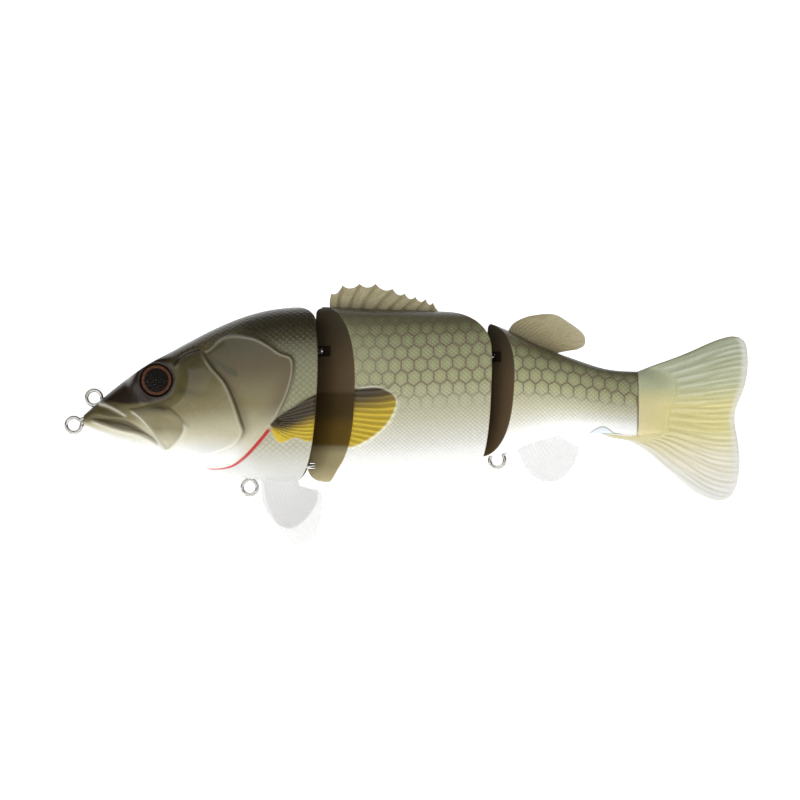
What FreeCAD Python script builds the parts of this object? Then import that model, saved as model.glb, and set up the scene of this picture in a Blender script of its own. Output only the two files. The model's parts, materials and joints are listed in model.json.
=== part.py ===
"""Three-section hard swimbait with a soft tail, as a parametric document.

Millimetres. Origin at the centre of the nose line tie, +X towards the tail, +Z up,
so the fish's left side faces -Y. The hull is moulded in left and right halves that
meet on the plane y = 0. Each section ends in a shallow V notch, the next one starts
in a prow that turns inside it, and wire eyes on vertical pins hinge them together.
"""
import FreeCAD, Part
import math
import os

import Sketcher

V = FreeCAD.Vector
ALONG_Y = FreeCAD.Rotation(V(0, 0, 1), V(0, 1, 0))
UPRIGHT = FreeCAD.Rotation()
LEFT = -1
RIGHT = 1

# ---------------------------------------------------------------- driving sizes

SIZES = (
    ("nose_at", 3.0, "nose tip, behind the nose ring's centre"),
    ("front_pin_at", 74.4, "axis of the front hinge"),
    ("rear_pin_at", 125.3, "axis of the rear hinge"),
    ("wrist_at", 169.0, "end of the hard tail"),
    ("body_height", 52.5, "deepest section, back to belly"),
    ("body_width", 31.6, "widest section"),
    ("flat_share", 0.2, "flat strip on the back and belly, as a share of the width"),
    ("wall", 2.0, "shell wall"),
    ("bulkhead", 10.0, "solid stretch ahead of each notch"),
    ("notch_slope", 0.42, "run of a notch face for each mm of width"),
    ("prow_slope", 0.9, "run of a prow face for each mm of width"),
    ("front_notch_back", 5.6, "front notch ahead of its pin, at the back"),
    ("front_notch_belly", 8.9, "front notch ahead of its pin, at the belly"),
    ("front_prow_back", 1.6, "front prow ahead of its pin, at the back"),
    ("front_prow_belly", 4.6, "front prow ahead of its pin, at the belly"),
    ("rear_notch_back", 4.2, "rear notch ahead of its pin, at the back"),
    ("rear_notch_belly", 5.9, "rear notch ahead of its pin, at the belly"),
    ("rear_prow_back", 1.0, "rear prow ahead of its pin, at the back"),
    ("rear_prow_belly", 4.4, "rear prow ahead of its pin, at the belly"),
    ("back_corner", 2.4, "rounding of the head's upper rear corner"),
    ("mid_back_corner", 10.5, "rounding of the middle's upper rear corner"),
    ("mid_belly_corner", 6.8, "rounding of the middle's lower rear corner"),
    ("wire_radius", 0.6, "wire of every ring and eye"),
    ("ring_radius", 2.25, "centre line of a line tie or hook hanger"),
    ("ring_shank", 8.8, "shank of a line tie or hook hanger"),
    ("nose_shank", 6.5, "shank of the nose line tie"),
    ("ring_recess_gap", 0.3, "room round a ring that is sunk in the hull"),
    ("pin_radius", 0.9, "hinge pin"),
    ("pin_clearance", 0.05, "between a hinge pin and its eye"),
    ("hinge_shank", 13.0, "shank of a hinge eye"),
    ("slot_height", 3.0, "slot in a prow for a hinge eye"),
    ("slot_behind_pin", 2.7, "depth of that slot behind the pin"),
    ("seat_gap", 0.02, "between a piece and the seat it is glued or pressed into"),
    ("iris_radius", 4.6, "eye disc"),
    ("iris_thickness", 1.2, "eye disc"),
    ("lens_height", 2.3, "clear dome over the eye disc"),
    ("orbit_rim", 0.7, "rim round the eye seat"),
    ("orbit_flare", 1.4, "how much wider the eye's raised seat is at its foot"),
    ("eye_seat_depth", 1.6, "depth of the eye seat"),
    ("fin_thickness", 1.2, "moulded fins"),
    ("pelvic_splay_left", 47.0, "angle of the left pelvic fin from upright"),
    ("pelvic_splay_right", 6.0, "angle of the right pelvic fin from upright"),
    ("pelvic_sweep_right", 3.0, "how far the right pelvic fin trails the left"),
    ("pelvic_length", 21.7, "pelvic fin below its root"),
    ("tail_fin_length", 33.2, "soft tail behind the hard tail"),
    ("tail_fin_height", 49.5, "soft tail, tip to tip"),
    ("tail_blade", 1.5, "thickness of the soft tail's blade"),
    ("tongue_length", 15.0, "soft tail's tongue inside the hard tail"),
    ("tongue_height", 13.0, "soft tail's tongue"),
    ("tongue_thickness", 3.0, "soft tail's tongue"),
    ("peg_radius", 1.2, "moulded pegs that line the halves up"),
    ("peg_length", 2.5, "how far a peg enters the other half"),
    ("tail_peg_radius", 1.6, "moulded peg that holds the soft tail"),
    ("sleeve_wall", 1.2, "moulded sleeves round the ballast"),
    ("head_slug_radius", 4.0, "ballast"),
    ("head_slug_length", 16.0, "ballast"),
    ("mid_slug_radius", 3.5, "ballast"),
    ("mid_slug_length", 16.0, "ballast"),
    ("tail_slug_radius", 2.5, "ballast"),
    ("tail_slug_length", 8.6, "ballast"),
)

# Hull stations: distance along, back line, belly line, widest level and half width.
# Along is a share of nose to rear pin (front) or rear pin to wrist (tail), heights
# are shares of body_height above the line tie, widths are shares of half body_width.
FRONT_STATIONS = (
    (0.000, 0.057, -0.011, 0.023, 0.101),
    (0.041, 0.141, -0.070, 0.019, 0.266),
    (0.106, 0.263, -0.149, 0.029, 0.481),
    (0.204, 0.404, -0.217, 0.048, 0.696),
    (0.319, 0.545, -0.270, 0.076, 0.861),
    (0.433, 0.644, -0.314, 0.095, 0.962),
    (0.564, 0.674, -0.326, 0.105, 1.000),
    (0.711, 0.661, -0.320, 0.114, 0.962),
    (0.859, 0.650, -0.291, 0.133, 0.861),
    (1.006, 0.632, -0.248, 0.152, 0.734),
)
TAIL_STATIONS = (
    (-0.144, 0.615, -0.189, 0.190, 0.759),
    (0.108, 0.541, -0.156, 0.200, 0.690),
    (0.336, 0.448, -0.088, 0.190, 0.557),
    (0.565, 0.377, -0.053, 0.171, 0.430),
    (0.794, 0.318, -0.050, 0.143, 0.316),
    (1.000, 0.305, -0.065, 0.124, 0.247),
)

# Fin outlines: (share along its section, share of body_height).
SPINE_TIPS = (
    (0.066, 0.757), (0.122, 0.798), (0.222, 0.810), (0.316, 0.810), (0.416, 0.781),
    (0.487, 0.754), (0.550, 0.735), (0.611, 0.722), (0.654, 0.703),
)
SOFT_DORSAL_EDGE = (
    (0.090, 0.545), (0.215, 0.610), (0.348, 0.636), (0.439, 0.632), (0.517, 0.594),
    (0.611, 0.539), (0.640, 0.480), (0.584, 0.430), (0.420, 0.415),
)
ANAL_EDGE = (
    (0.150, -0.110), (0.213, -0.208), (0.295, -0.291), (0.378, -0.326), (0.460, -0.314),
    (0.542, -0.253), (0.592, -0.170), (0.590, -0.120), (0.460, -0.072),
)
# Pelvic outline: (share of nose to front pin, share of pelvic_length below the root).
PELVIC_EDGE = (
    (0.755, 0.06), (0.780, 0.53), (0.815, 0.84), (0.850, 0.97), (0.892, 1.00),
    (0.935, 0.72), (0.975, 0.34), (0.965, 0.20), (0.905, 0.16),
)
# Soft tail outline behind the wrist: (share of tail_fin_length, share of its height).
TAIL_FIN_EDGE = (
    (0.010, 0.330), (0.230, 0.386), (0.473, 0.451), (0.681, 0.503), (0.904, 0.535),
    (0.985, 0.490), (1.000, 0.352), (0.940, 0.166), (0.883, 0.038), (0.922, -0.158),
    (0.922, -0.263), (0.834, -0.449), (0.765, -0.465), (0.645, -0.455), (0.473, -0.390),
    (0.302, -0.297), (0.127, -0.204), (0.010, -0.120),
)

doc = FreeCAD.newDocument("swimbait")
sheet = doc.addObject("Spreadsheet::Sheet", "sizes")
for row, (alias, number, meaning) in enumerate(SIZES, 1):
    sheet.set("A%d" % row, alias)
    sheet.set("B%d" % row, str(number))
    sheet.set("C%d" % row, meaning)
    sheet.setAlias("B%d" % row, alias)
doc.recompute()


# ------------------------------------------------------- expressions and values

def head_x(share):
    """Expression for a place between the nose tip and the front pin."""
    return "(sizes.nose_at + %g * (sizes.front_pin_at - sizes.nose_at))" % share


def mid_x(share):
    """Expression for a place between the two pins."""
    return "(sizes.front_pin_at + %g * (sizes.rear_pin_at - sizes.front_pin_at))" % share


def tail_x(share):
    """Expression for a place between the rear pin and the wrist."""
    return "(sizes.rear_pin_at + %g * (sizes.wrist_at - sizes.rear_pin_at))" % share


def front_x(share):
    """Expression for a place between the nose tip and the rear pin."""
    return "(sizes.nose_at + %g * (sizes.rear_pin_at - sizes.nose_at))" % share


def height(share):
    """Expression for a height above the line tie."""
    return "(%g * sizes.body_height)" % share


def value(expression):
    """Number that an expression gives with the sheet as it stands."""
    return float(sheet.evalExpression(str(expression).replace("sizes.", "")))


# ---------------------------------------------------------------- small builders

def bind(item, **expressions):
    """Tie properties of an object to expressions of the sheet."""
    for name, expression in expressions.items():
        item.setExpression(name.replace("__", "."), str(expression))
    return item


def put(item, x="0", y="0", z="0", turn=UPRIGHT):
    """Place an object at bound coordinates."""
    item.Placement = FreeCAD.Placement(V(0, 0, 0), turn)
    return bind(item, Placement__Base__x=x, Placement__Base__y=y, Placement__Base__z=z)


def block(name, x, y, z, length, width, tall):
    item = doc.addObject("Part::Box", name)
    bind(item, Length=length, Width=width, Height=tall)
    return put(item, x, y, z)


def rod(name, radius, length, x, y, z, turn=UPRIGHT):
    item = doc.addObject("Part::Cylinder", name)
    bind(item, Radius=radius, Height=length)
    return put(item, x, y, z, turn)


def ring(name, radius, wire, x, z, turn):
    item = doc.addObject("Part::Torus", name)
    bind(item, Radius1=radius, Radius2=wire)
    return put(item, x, "0", z, turn)


def fuse(name, items):
    item = doc.addObject("Part::MultiFuse", name)
    item.Shapes = items
    return item


def common(name, items):
    item = doc.addObject("Part::MultiCommon", name)
    item.Shapes = items
    return item


def cut(name, base, tool):
    item = doc.addObject("Part::Cut", name)
    item.Base = base
    item.Tool = tool
    return item


def compound(name, items):
    item = doc.addObject("Part::Compound", name)
    item.Links = items
    return item


def side_sketch(name, edges):
    """Sketch on the plane y = 0, with sketch x along +X and sketch y along +Z."""
    sketch = doc.addObject("Sketcher::SketchObject", name)
    sketch.Placement = FreeCAD.Placement(V(0, 0, 0), FreeCAD.Rotation(V(1, 0, 0), 90))
    sketch.addGeometry(edges, False)
    return sketch


def lines_through(points, closed=True):
    """Straight edges joining points (x, z)."""
    corners = [V(x, z, 0) for x, z in points]
    ends = corners[1:] + corners[:1] if closed else corners[1:]
    return [Part.LineSegment(start, end) for start, end in zip(corners, ends)]


def leaf_edges(edge, root):
    """A smooth free edge through points, closed by straight lines round its root."""
    curve = Part.BSplineCurve()
    curve.interpolate([V(x, z, 0) for x, z in edge])
    return [curve] + lines_through([edge[-1]] + root + [edge[0]], closed=False)


def plate(name, sketch, thickness):
    """Extrude a side sketch evenly to both sides of its own plane."""
    item = doc.addObject("Part::Extrusion", name)
    item.Base = sketch
    item.DirMode = "Normal"
    item.Solid = True
    item.Symmetric = True
    bind(item, LengthFwd=thickness)
    return item


# ------------------------------------------------------------------- the hull form

def quarter(centre_y, centre_z, reach_y, reach_z):
    """Quarter of an ellipse from the tip of one axis to the tip of the other."""
    centre = V(centre_y, centre_z, 0)
    upright = V(centre_y, centre_z + reach_z, 0)
    level = V(centre_y + reach_y, centre_z, 0)
    axes = (upright, level) if abs(reach_z) >= abs(reach_y) else (level, upright)
    return Part.ArcOfEllipse(Part.Ellipse(axes[0], axes[1], centre), 0, math.pi / 2)


def station(name, place, top, bottom, level, half_width, inset):
    """Closed hull section: four quarter ellipses with a flat strip at back and belly."""
    high = value(height(top)) - inset
    low = value(height(bottom)) + inset
    widest = value(height(level))
    half = half_width * value("sizes.body_width / 2") - inset
    flat = half * value("sizes.flat_share")
    sketch = doc.addObject("Sketcher::SketchObject", name)
    turn = FreeCAD.Rotation(V(0, 1, 0), V(0, 0, 1), V(1, 0, 0), "ZXY")
    sketch.addGeometry([
        Part.LineSegment(V(-flat, high, 0), V(flat, high, 0)),
        quarter(flat, widest, half - flat, high - widest),
        quarter(flat, widest, half - flat, low - widest),
        Part.LineSegment(V(flat, low, 0), V(-flat, low, 0)),
        quarter(-flat, widest, flat - half, low - widest),
        quarter(-flat, widest, flat - half, high - widest),
    ], False)
    return put(sketch, place, turn=turn)


def hull(name, stations, along, inset=0.0):
    """Loft through a table of stations, drawn in by the inset."""
    sections = []
    for number, (share, top, bottom, level, half_width) in enumerate(stations):
        section = station("%s_station_%d" % (name, number), along(share),
                          top, bottom, level, half_width, inset)
        sections.append(section)
    loft = doc.addObject("Part::Loft", name)
    loft.Sections = sections
    loft.Solid = True
    loft.Ruled = False
    return loft


# ------------------------------------------------------------------- joint faces

FAR = 60.0      # past the hull, above, below and ahead of it


def slanted(name, edges, side, slope):
    """Side profile swept to one side, so that its end faces slope back with width."""
    item = doc.addObject("Part::Extrusion", name)
    item.Base = side_sketch(name + "_profile", edges)
    item.DirMode = "Custom"
    item.Dir = V(value("sizes." + slope), side, 0)
    item.Solid = True
    bind(item, LengthFwd="1.2 * sizes.body_width")
    return item


def head_rear(name, side):
    """Everything ahead of the head's notch face."""
    pin = value("sizes.front_pin_at")
    back = pin - value("sizes.front_notch_back")
    belly = pin - value("sizes.front_notch_belly")
    top = value(height(0.672))
    low = value(height(-0.324))
    radius = value("sizes.back_corner")
    bend = math.sqrt(0.5)
    corner = Part.Arc(
        V(back, top - radius, 0),
        V(back - radius * (1 - bend), top - radius * (1 - bend), 0),
        V(back - radius, top, 0))
    rest = lines_through([
        (back - radius, top), (back - radius - FAR / 6, FAR), (-FAR, FAR), (-FAR, -FAR),
        (belly, -FAR), (belly, low), (back, top - radius)], closed=False)
    return slanted(name, [corner] + rest, side, "notch_slope")


def mid_front(name, side):
    """Everything behind the middle's prow."""
    pin = value("sizes.front_pin_at")
    back = pin - value("sizes.front_prow_back")
    belly = pin - value("sizes.front_prow_belly")
    points = [(back, FAR), (back, value(height(0.667))), (belly, value(height(-0.324))),
              (belly, -FAR), (pin + 3 * FAR, -FAR), (pin + 3 * FAR, FAR)]
    return slanted(name, lines_through(points), side, "prow_slope")


def mid_rear(name, side):
    """Everything ahead of the middle's notch face, with its rounded corners."""
    pin = value("sizes.rear_pin_at")
    back = pin - value("sizes.rear_notch_back")
    belly = pin - value("sizes.rear_notch_belly")
    upper = value("sizes.mid_back_corner")
    lower = value("sizes.mid_belly_corner")
    top = value(height(0.650))
    low = value(height(-0.288))
    bend = math.sqrt(0.5)
    back_corner = Part.Arc(
        V(back - upper, top, 0),
        V(back - upper * (1 - bend), top - upper * (1 - bend), 0),
        V(back, top - upper, 0))
    belly_corner = Part.Arc(
        V(belly, low + lower, 0),
        V(belly - lower * (1 - bend), low + lower * (1 - bend), 0),
        V(belly - lower, low, 0))
    joining = [Part.LineSegment(V(back, top - upper, 0), V(belly, low + lower, 0))]
    rest = lines_through([
        (belly - lower, low), (belly - lower - FAR / 6, -FAR), (-FAR, -FAR), (-FAR, FAR),
        (back - upper - FAR / 6, FAR), (back - upper, top)], closed=False)
    return slanted(name, [back_corner] + joining + [belly_corner] + rest, side, "notch_slope")


def tail_front(name, side):
    """Everything behind the tail's prow."""
    pin = value("sizes.rear_pin_at")
    back = pin - value("sizes.rear_prow_back")
    belly = pin - value("sizes.rear_prow_belly")
    points = [(back, FAR), (back, value(height(0.583))), (belly, value(height(-0.173))),
              (belly, -FAR), (pin + 3 * FAR, -FAR), (pin + 3 * FAR, FAR)]
    return slanted(name, lines_through(points), side, "prow_slope")


# ------------------------------------------------------------------ wire hardware

def wire_ring(name, x, z, lean, shank):
    """Ring in the plane y = 0 with a shank into the hull, and the seat it needs.

    lean is the shank's angle from +X towards +Z, in degrees.
    """
    run = math.cos(math.radians(lean))
    rise = math.sin(math.radians(lean))
    turn = FreeCAD.Rotation(V(0, 0, 1), V(run, 0, rise))
    start_x = "%s + %.5f * sizes.ring_radius" % (x, run)
    start_z = "%s + %.5f * sizes.ring_radius" % (z, rise)
    loop = ring(name + "_loop", "sizes.ring_radius", "sizes.wire_radius", x, z, ALONG_Y)
    stem = rod(name + "_stem", "sizes.wire_radius", shank, start_x, "0", start_z, turn)
    wire = fuse(name, [loop, stem])

    bore = rod(name + "_bore", "sizes.wire_radius + sizes.seat_gap",
               shank + " + sizes.seat_gap", start_x, "0", start_z, turn)
    half = "(sizes.wire_radius + sizes.ring_recess_gap)"
    recess = rod(name + "_recess",
                 "sizes.ring_radius + sizes.wire_radius + sizes.ring_recess_gap",
                 "2 * " + half, x, "-" + half, z, ALONG_Y)
    return wire, [bore, recess]


def hinge_eye(name, pin_at, z):
    """Level eye round a hinge pin, its shank running forward, and the shank's bore."""
    forward = FreeCAD.Rotation(V(0, 0, 1), V(-1, 0, 0))
    radius = "(sizes.pin_radius + sizes.pin_clearance + sizes.wire_radius)"
    start = "%s - %s" % (pin_at, radius)
    loop = ring(name + "_loop", radius, "sizes.wire_radius", pin_at, z, UPRIGHT)
    stem = rod(name + "_stem", "sizes.wire_radius", "sizes.hinge_shank",
               start, "0", z, forward)
    bore = rod(name + "_bore", "sizes.wire_radius + sizes.seat_gap",
               "sizes.hinge_shank + sizes.seat_gap", start, "0", z, forward)
    return fuse(name, [loop, stem]), bore


def hinge_slot(name, pin_at, z):
    """Slot that a hinge eye turns in, open at the front and both sides of the prow."""
    deep = "(20 + sizes.slot_behind_pin)"
    return block(name, pin_at + " - 20", "-sizes.body_width", z + " - sizes.slot_height / 2",
                 deep, "2 * sizes.body_width", "sizes.slot_height")


def hinge_pin(name, pin_at, low, high, mouth):
    """Vertical pin, and its bore, which opens at the belly."""
    pin = rod(name, "sizes.pin_radius", "%s - %s" % (high, low), pin_at, "0", low)
    bore = rod(name + "_bore", "sizes.pin_radius + sizes.seat_gap",
               "%s - %s" % (high, mouth), pin_at, "0", mouth)
    return pin, bore


# ------------------------------------------------------------- hollows and ballast

def slugs(name, places, z, radius, length):
    """Ballast slugs across the hull, the sleeves round them and their bores."""
    group, sleeves, bores = [], [], []
    for number, x in enumerate(places):
        tag = "%s_%d" % (name, number)
        half = "%s / 2" % length
        group.append(rod(tag, radius, length, x, "-" + half, z, ALONG_Y))
        sleeves.append(rod(tag + "_sleeve", radius + " + sizes.sleeve_wall",
                           length + " + 2 * sizes.sleeve_wall",
                           x, "-%s - sizes.sleeve_wall" % half, z, ALONG_Y))
        bores.append(rod(tag + "_bore", radius + " + sizes.seat_gap",
                         length + " + 2 * sizes.seat_gap",
                         x, "-%s - sizes.seat_gap" % half, z, ALONG_Y))
    return compound(name, group), sleeves, bores


def hollow(name, inner, start, end, sleeves):
    """Air space of a section: the inner form between two places, less the sleeves."""
    room = block(name + "_room", start, "-sizes.body_width", "-sizes.body_height",
                 "%s - %s" % (end, start), "2 * sizes.body_width", "2 * sizes.body_height")
    air = common(name + "_air", [inner, room])
    return cut(name, air, fuse(name + "_sleeves", sleeves) if len(sleeves) > 1 else sleeves[0])


def pegs(name, places):
    """Pegs moulded on the left half, and their sockets in the right half."""
    made, sockets = [], []
    for number, (x, z) in enumerate(places):
        tag = "%s_peg_%d" % (name, number)
        made.append(rod(tag, "sizes.peg_radius", "2 * sizes.peg_length",
                        x, "-sizes.peg_length", z, ALONG_Y))
        sockets.append(rod(tag + "_socket", "sizes.peg_radius + sizes.seat_gap",
                           "sizes.peg_length + sizes.seat_gap", x, "0", z, ALONG_Y))
    return made, sockets


# -------------------------------------------------------------------------- eyes

EYE_X = head_x(0.315)
EYE_Z = height(0.255)
EYE_FACE = "(0.275 * sizes.body_width)"     # outer rim of the eye seat, from y = 0


def eye(side, word):
    """Eye disc and lens of one side, the raised seat on the hull and its pocket."""
    outward = FreeCAD.Rotation(V(0, 0, 1), V(0, side, 0))
    sign = "%d * " % side
    floor = "(%s - sizes.eye_seat_depth)" % EYE_FACE
    disc_top = "(%s + sizes.iris_thickness)" % floor
    iris = rod("eye_iris_" + word, "sizes.iris_radius", "sizes.iris_thickness",
               EYE_X, sign + floor, EYE_Z, outward)

    dome_radius = "((sizes.iris_radius ^ 2 + sizes.lens_height ^ 2) / (2 * sizes.lens_height))"
    ball = doc.addObject("Part::Sphere", "lens_ball_" + word)
    bind(ball, Radius=dome_radius)
    put(ball, EYE_X, "%s(%s + sizes.lens_height - %s)" % (sign, disc_top, dome_radius), EYE_Z)
    barrel = rod("lens_barrel_" + word, "sizes.iris_radius", "2 * sizes.lens_height",
                 EYE_X, sign + disc_top, EYE_Z, outward)
    lens = common("eye_lens_" + word, [ball, barrel])

    orbit = doc.addObject("Part::Cone", "orbit_" + word)
    rim = "sizes.iris_radius + sizes.orbit_rim"
    bind(orbit, Radius1=rim + " + sizes.orbit_flare", Radius2=rim,
         Height=EYE_FACE + " - 0.1 * sizes.body_width")
    put(orbit, EYE_X, sign + "(0.1 * sizes.body_width)", EYE_Z, outward)
    pocket = rod("eye_pocket_" + word, "sizes.iris_radius + sizes.seat_gap",
                 "sizes.body_width", EYE_X, sign + floor, EYE_Z, outward)
    return iris, lens, orbit, pocket


# -------------------------------------------------------------------------- fins

def upright_fin(name, edges):
    """Fin on the plane y = 0 with its tab in the hull, and the slot for the tab."""
    sketch = side_sketch(name + "_outline", edges)
    fin = plate(name, sketch, "sizes.fin_thickness")
    slot = plate(name + "_slot", sketch, "sizes.fin_thickness + 2 * sizes.seat_gap")
    return fin, slot


def spiny_dorsal():
    """Fin of stiff spines, scalloped between their tips, on the middle section."""
    dip = 0.022
    lean = 0.012
    points = [(0.020, 0.600), (0.055, 0.660)]
    for tip, following in zip(SPINE_TIPS, SPINE_TIPS[1:]):
        points.append(tip)
        points.append(((tip[0] + following[0]) / 2 + lean, (tip[1] + following[1]) / 2 - dip))
    points += [SPINE_TIPS[-1], (0.720, 0.645), (0.700, 0.600)]
    places = [(value(mid_x(along)), value(height(up))) for along, up in points]
    return upright_fin("spiny_dorsal_fin", lines_through(places))


def leaf_fin(name, edge, root):
    """Soft fin with a smooth free edge, on the tail section."""
    free = [(value(tail_x(along)), value(height(up))) for along, up in edge]
    inner = [(value(tail_x(along)), value(height(up))) for along, up in root]
    return upright_fin(name, leaf_edges(free, inner))


def pelvic_fin(word, side, splay, sweep):
    """Leaf fin hung from the head's belly, swung out from upright."""
    root_z = height(-0.295)
    root_y = "(%d * 0.11 * sizes.body_width)" % side
    length = value("sizes.pelvic_length")
    angle = value(splay)
    free = []
    for along, down in PELVIC_EDGE:
        trail = value(sweep) * down
        free.append((value(head_x(along)) + trail, -down * length))
    tab = 3.0
    root = [(value(head_x(0.885)), -0.1 * length), (value(head_x(0.870)), tab),
            (value(head_x(0.765)), tab)]
    name = "pelvic_fin_" + word
    sketch = side_sketch(name + "_outline", leaf_edges(free, root))
    turn = FreeCAD.Rotation(V(1, 0, 0), side * angle)
    fin = plate(name, sketch, "sizes.fin_thickness")
    slot = plate(name + "_slot", sketch, "sizes.fin_thickness + 2 * sizes.seat_gap")
    for item in (fin, slot):
        put(item, y=root_y, z=root_z, turn=turn)
    return fin, slot


def caudal_fin():
    """Soft tail: blade, thick root, and a tongue that a moulded peg holds."""
    wrist = value("sizes.wrist_at")
    length = value("sizes.tail_fin_length")
    span = value("sizes.tail_fin_height")
    edge = [(wrist + along * length, up * span) for along, up in TAIL_FIN_EDGE]
    blade = plate("tail_blade_plate", side_sketch("tail_blade_outline", leaf_edges(edge, [])),
                  "sizes.tail_blade")

    root = hull("tail_root", (
        (0.002, 0.300, -0.060, 0.124, 0.236),
        (0.120, 0.312, -0.115, 0.105, 0.175),
        (0.330, 0.345, -0.200, 0.075, 0.075),
    ), lambda share: "(sizes.wrist_at + %g * sizes.tail_fin_length)" % share)

    low = height(-0.020)
    tongue = block("tongue", "sizes.wrist_at - sizes.tongue_length",
                   "-sizes.tongue_thickness / 2", low,
                   "sizes.tongue_length + 3", "sizes.tongue_thickness", "sizes.tongue_height")
    foot = block("tongue_foot", "sizes.wrist_at - 0.82 * sizes.tongue_length",
                 "-sizes.tongue_thickness / 2", height(-0.044),
                 "0.3 * sizes.tongue_length", "sizes.tongue_thickness", height(0.03))
    whole = fuse("tail_whole", [blade, root, tongue, foot])
    hole = rod("tongue_hole", "sizes.tail_peg_radius + sizes.seat_gap", "sizes.body_width",
               "sizes.wrist_at - sizes.tongue_length / 2", "-sizes.body_width / 2",
               height(0.100), ALONG_Y)
    fin = cut("caudal_fin", whole, hole)

    gap = "sizes.seat_gap"
    slot = block("tongue_slot", "sizes.wrist_at - sizes.tongue_length - " + gap,
                 "-sizes.tongue_thickness / 2 - " + gap, low + " - " + gap,
                 "sizes.tongue_length + 10", "sizes.tongue_thickness + 2 * " + gap,
                 "sizes.tongue_height + 2 * " + gap)
    return fin, slot


def tail_cut_away():
    """Opening under the wrist where the soft tail's foot shows."""
    points = [(-0.95, -0.16), (-0.86, -0.016), (-0.48, -0.016), (-0.42, -0.16)]
    wrist = value("sizes.wrist_at")
    tongue = value("sizes.tongue_length")
    places = [(wrist + along * tongue, value(height(up))) for along, up in points]
    return plate("tail_cut_away", side_sketch("cut_away_outline", lines_through(places)),
                 "2 * sizes.body_width")


# ---------------------------------------------------------------------- assembly

def shell(name, forms, extras, tools, moulded=()):
    """One moulded half: forms in common, raised parts added, seats and hollows cut."""
    body = common(name + "_form", forms)
    if extras:
        body = fuse(name + "_raised", [body] + list(extras))
    body = cut(name + "_cut", body, compound(name + "_tools", tools))
    if moulded:
        body = fuse(name, [body] + list(moulded))
    return body


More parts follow.
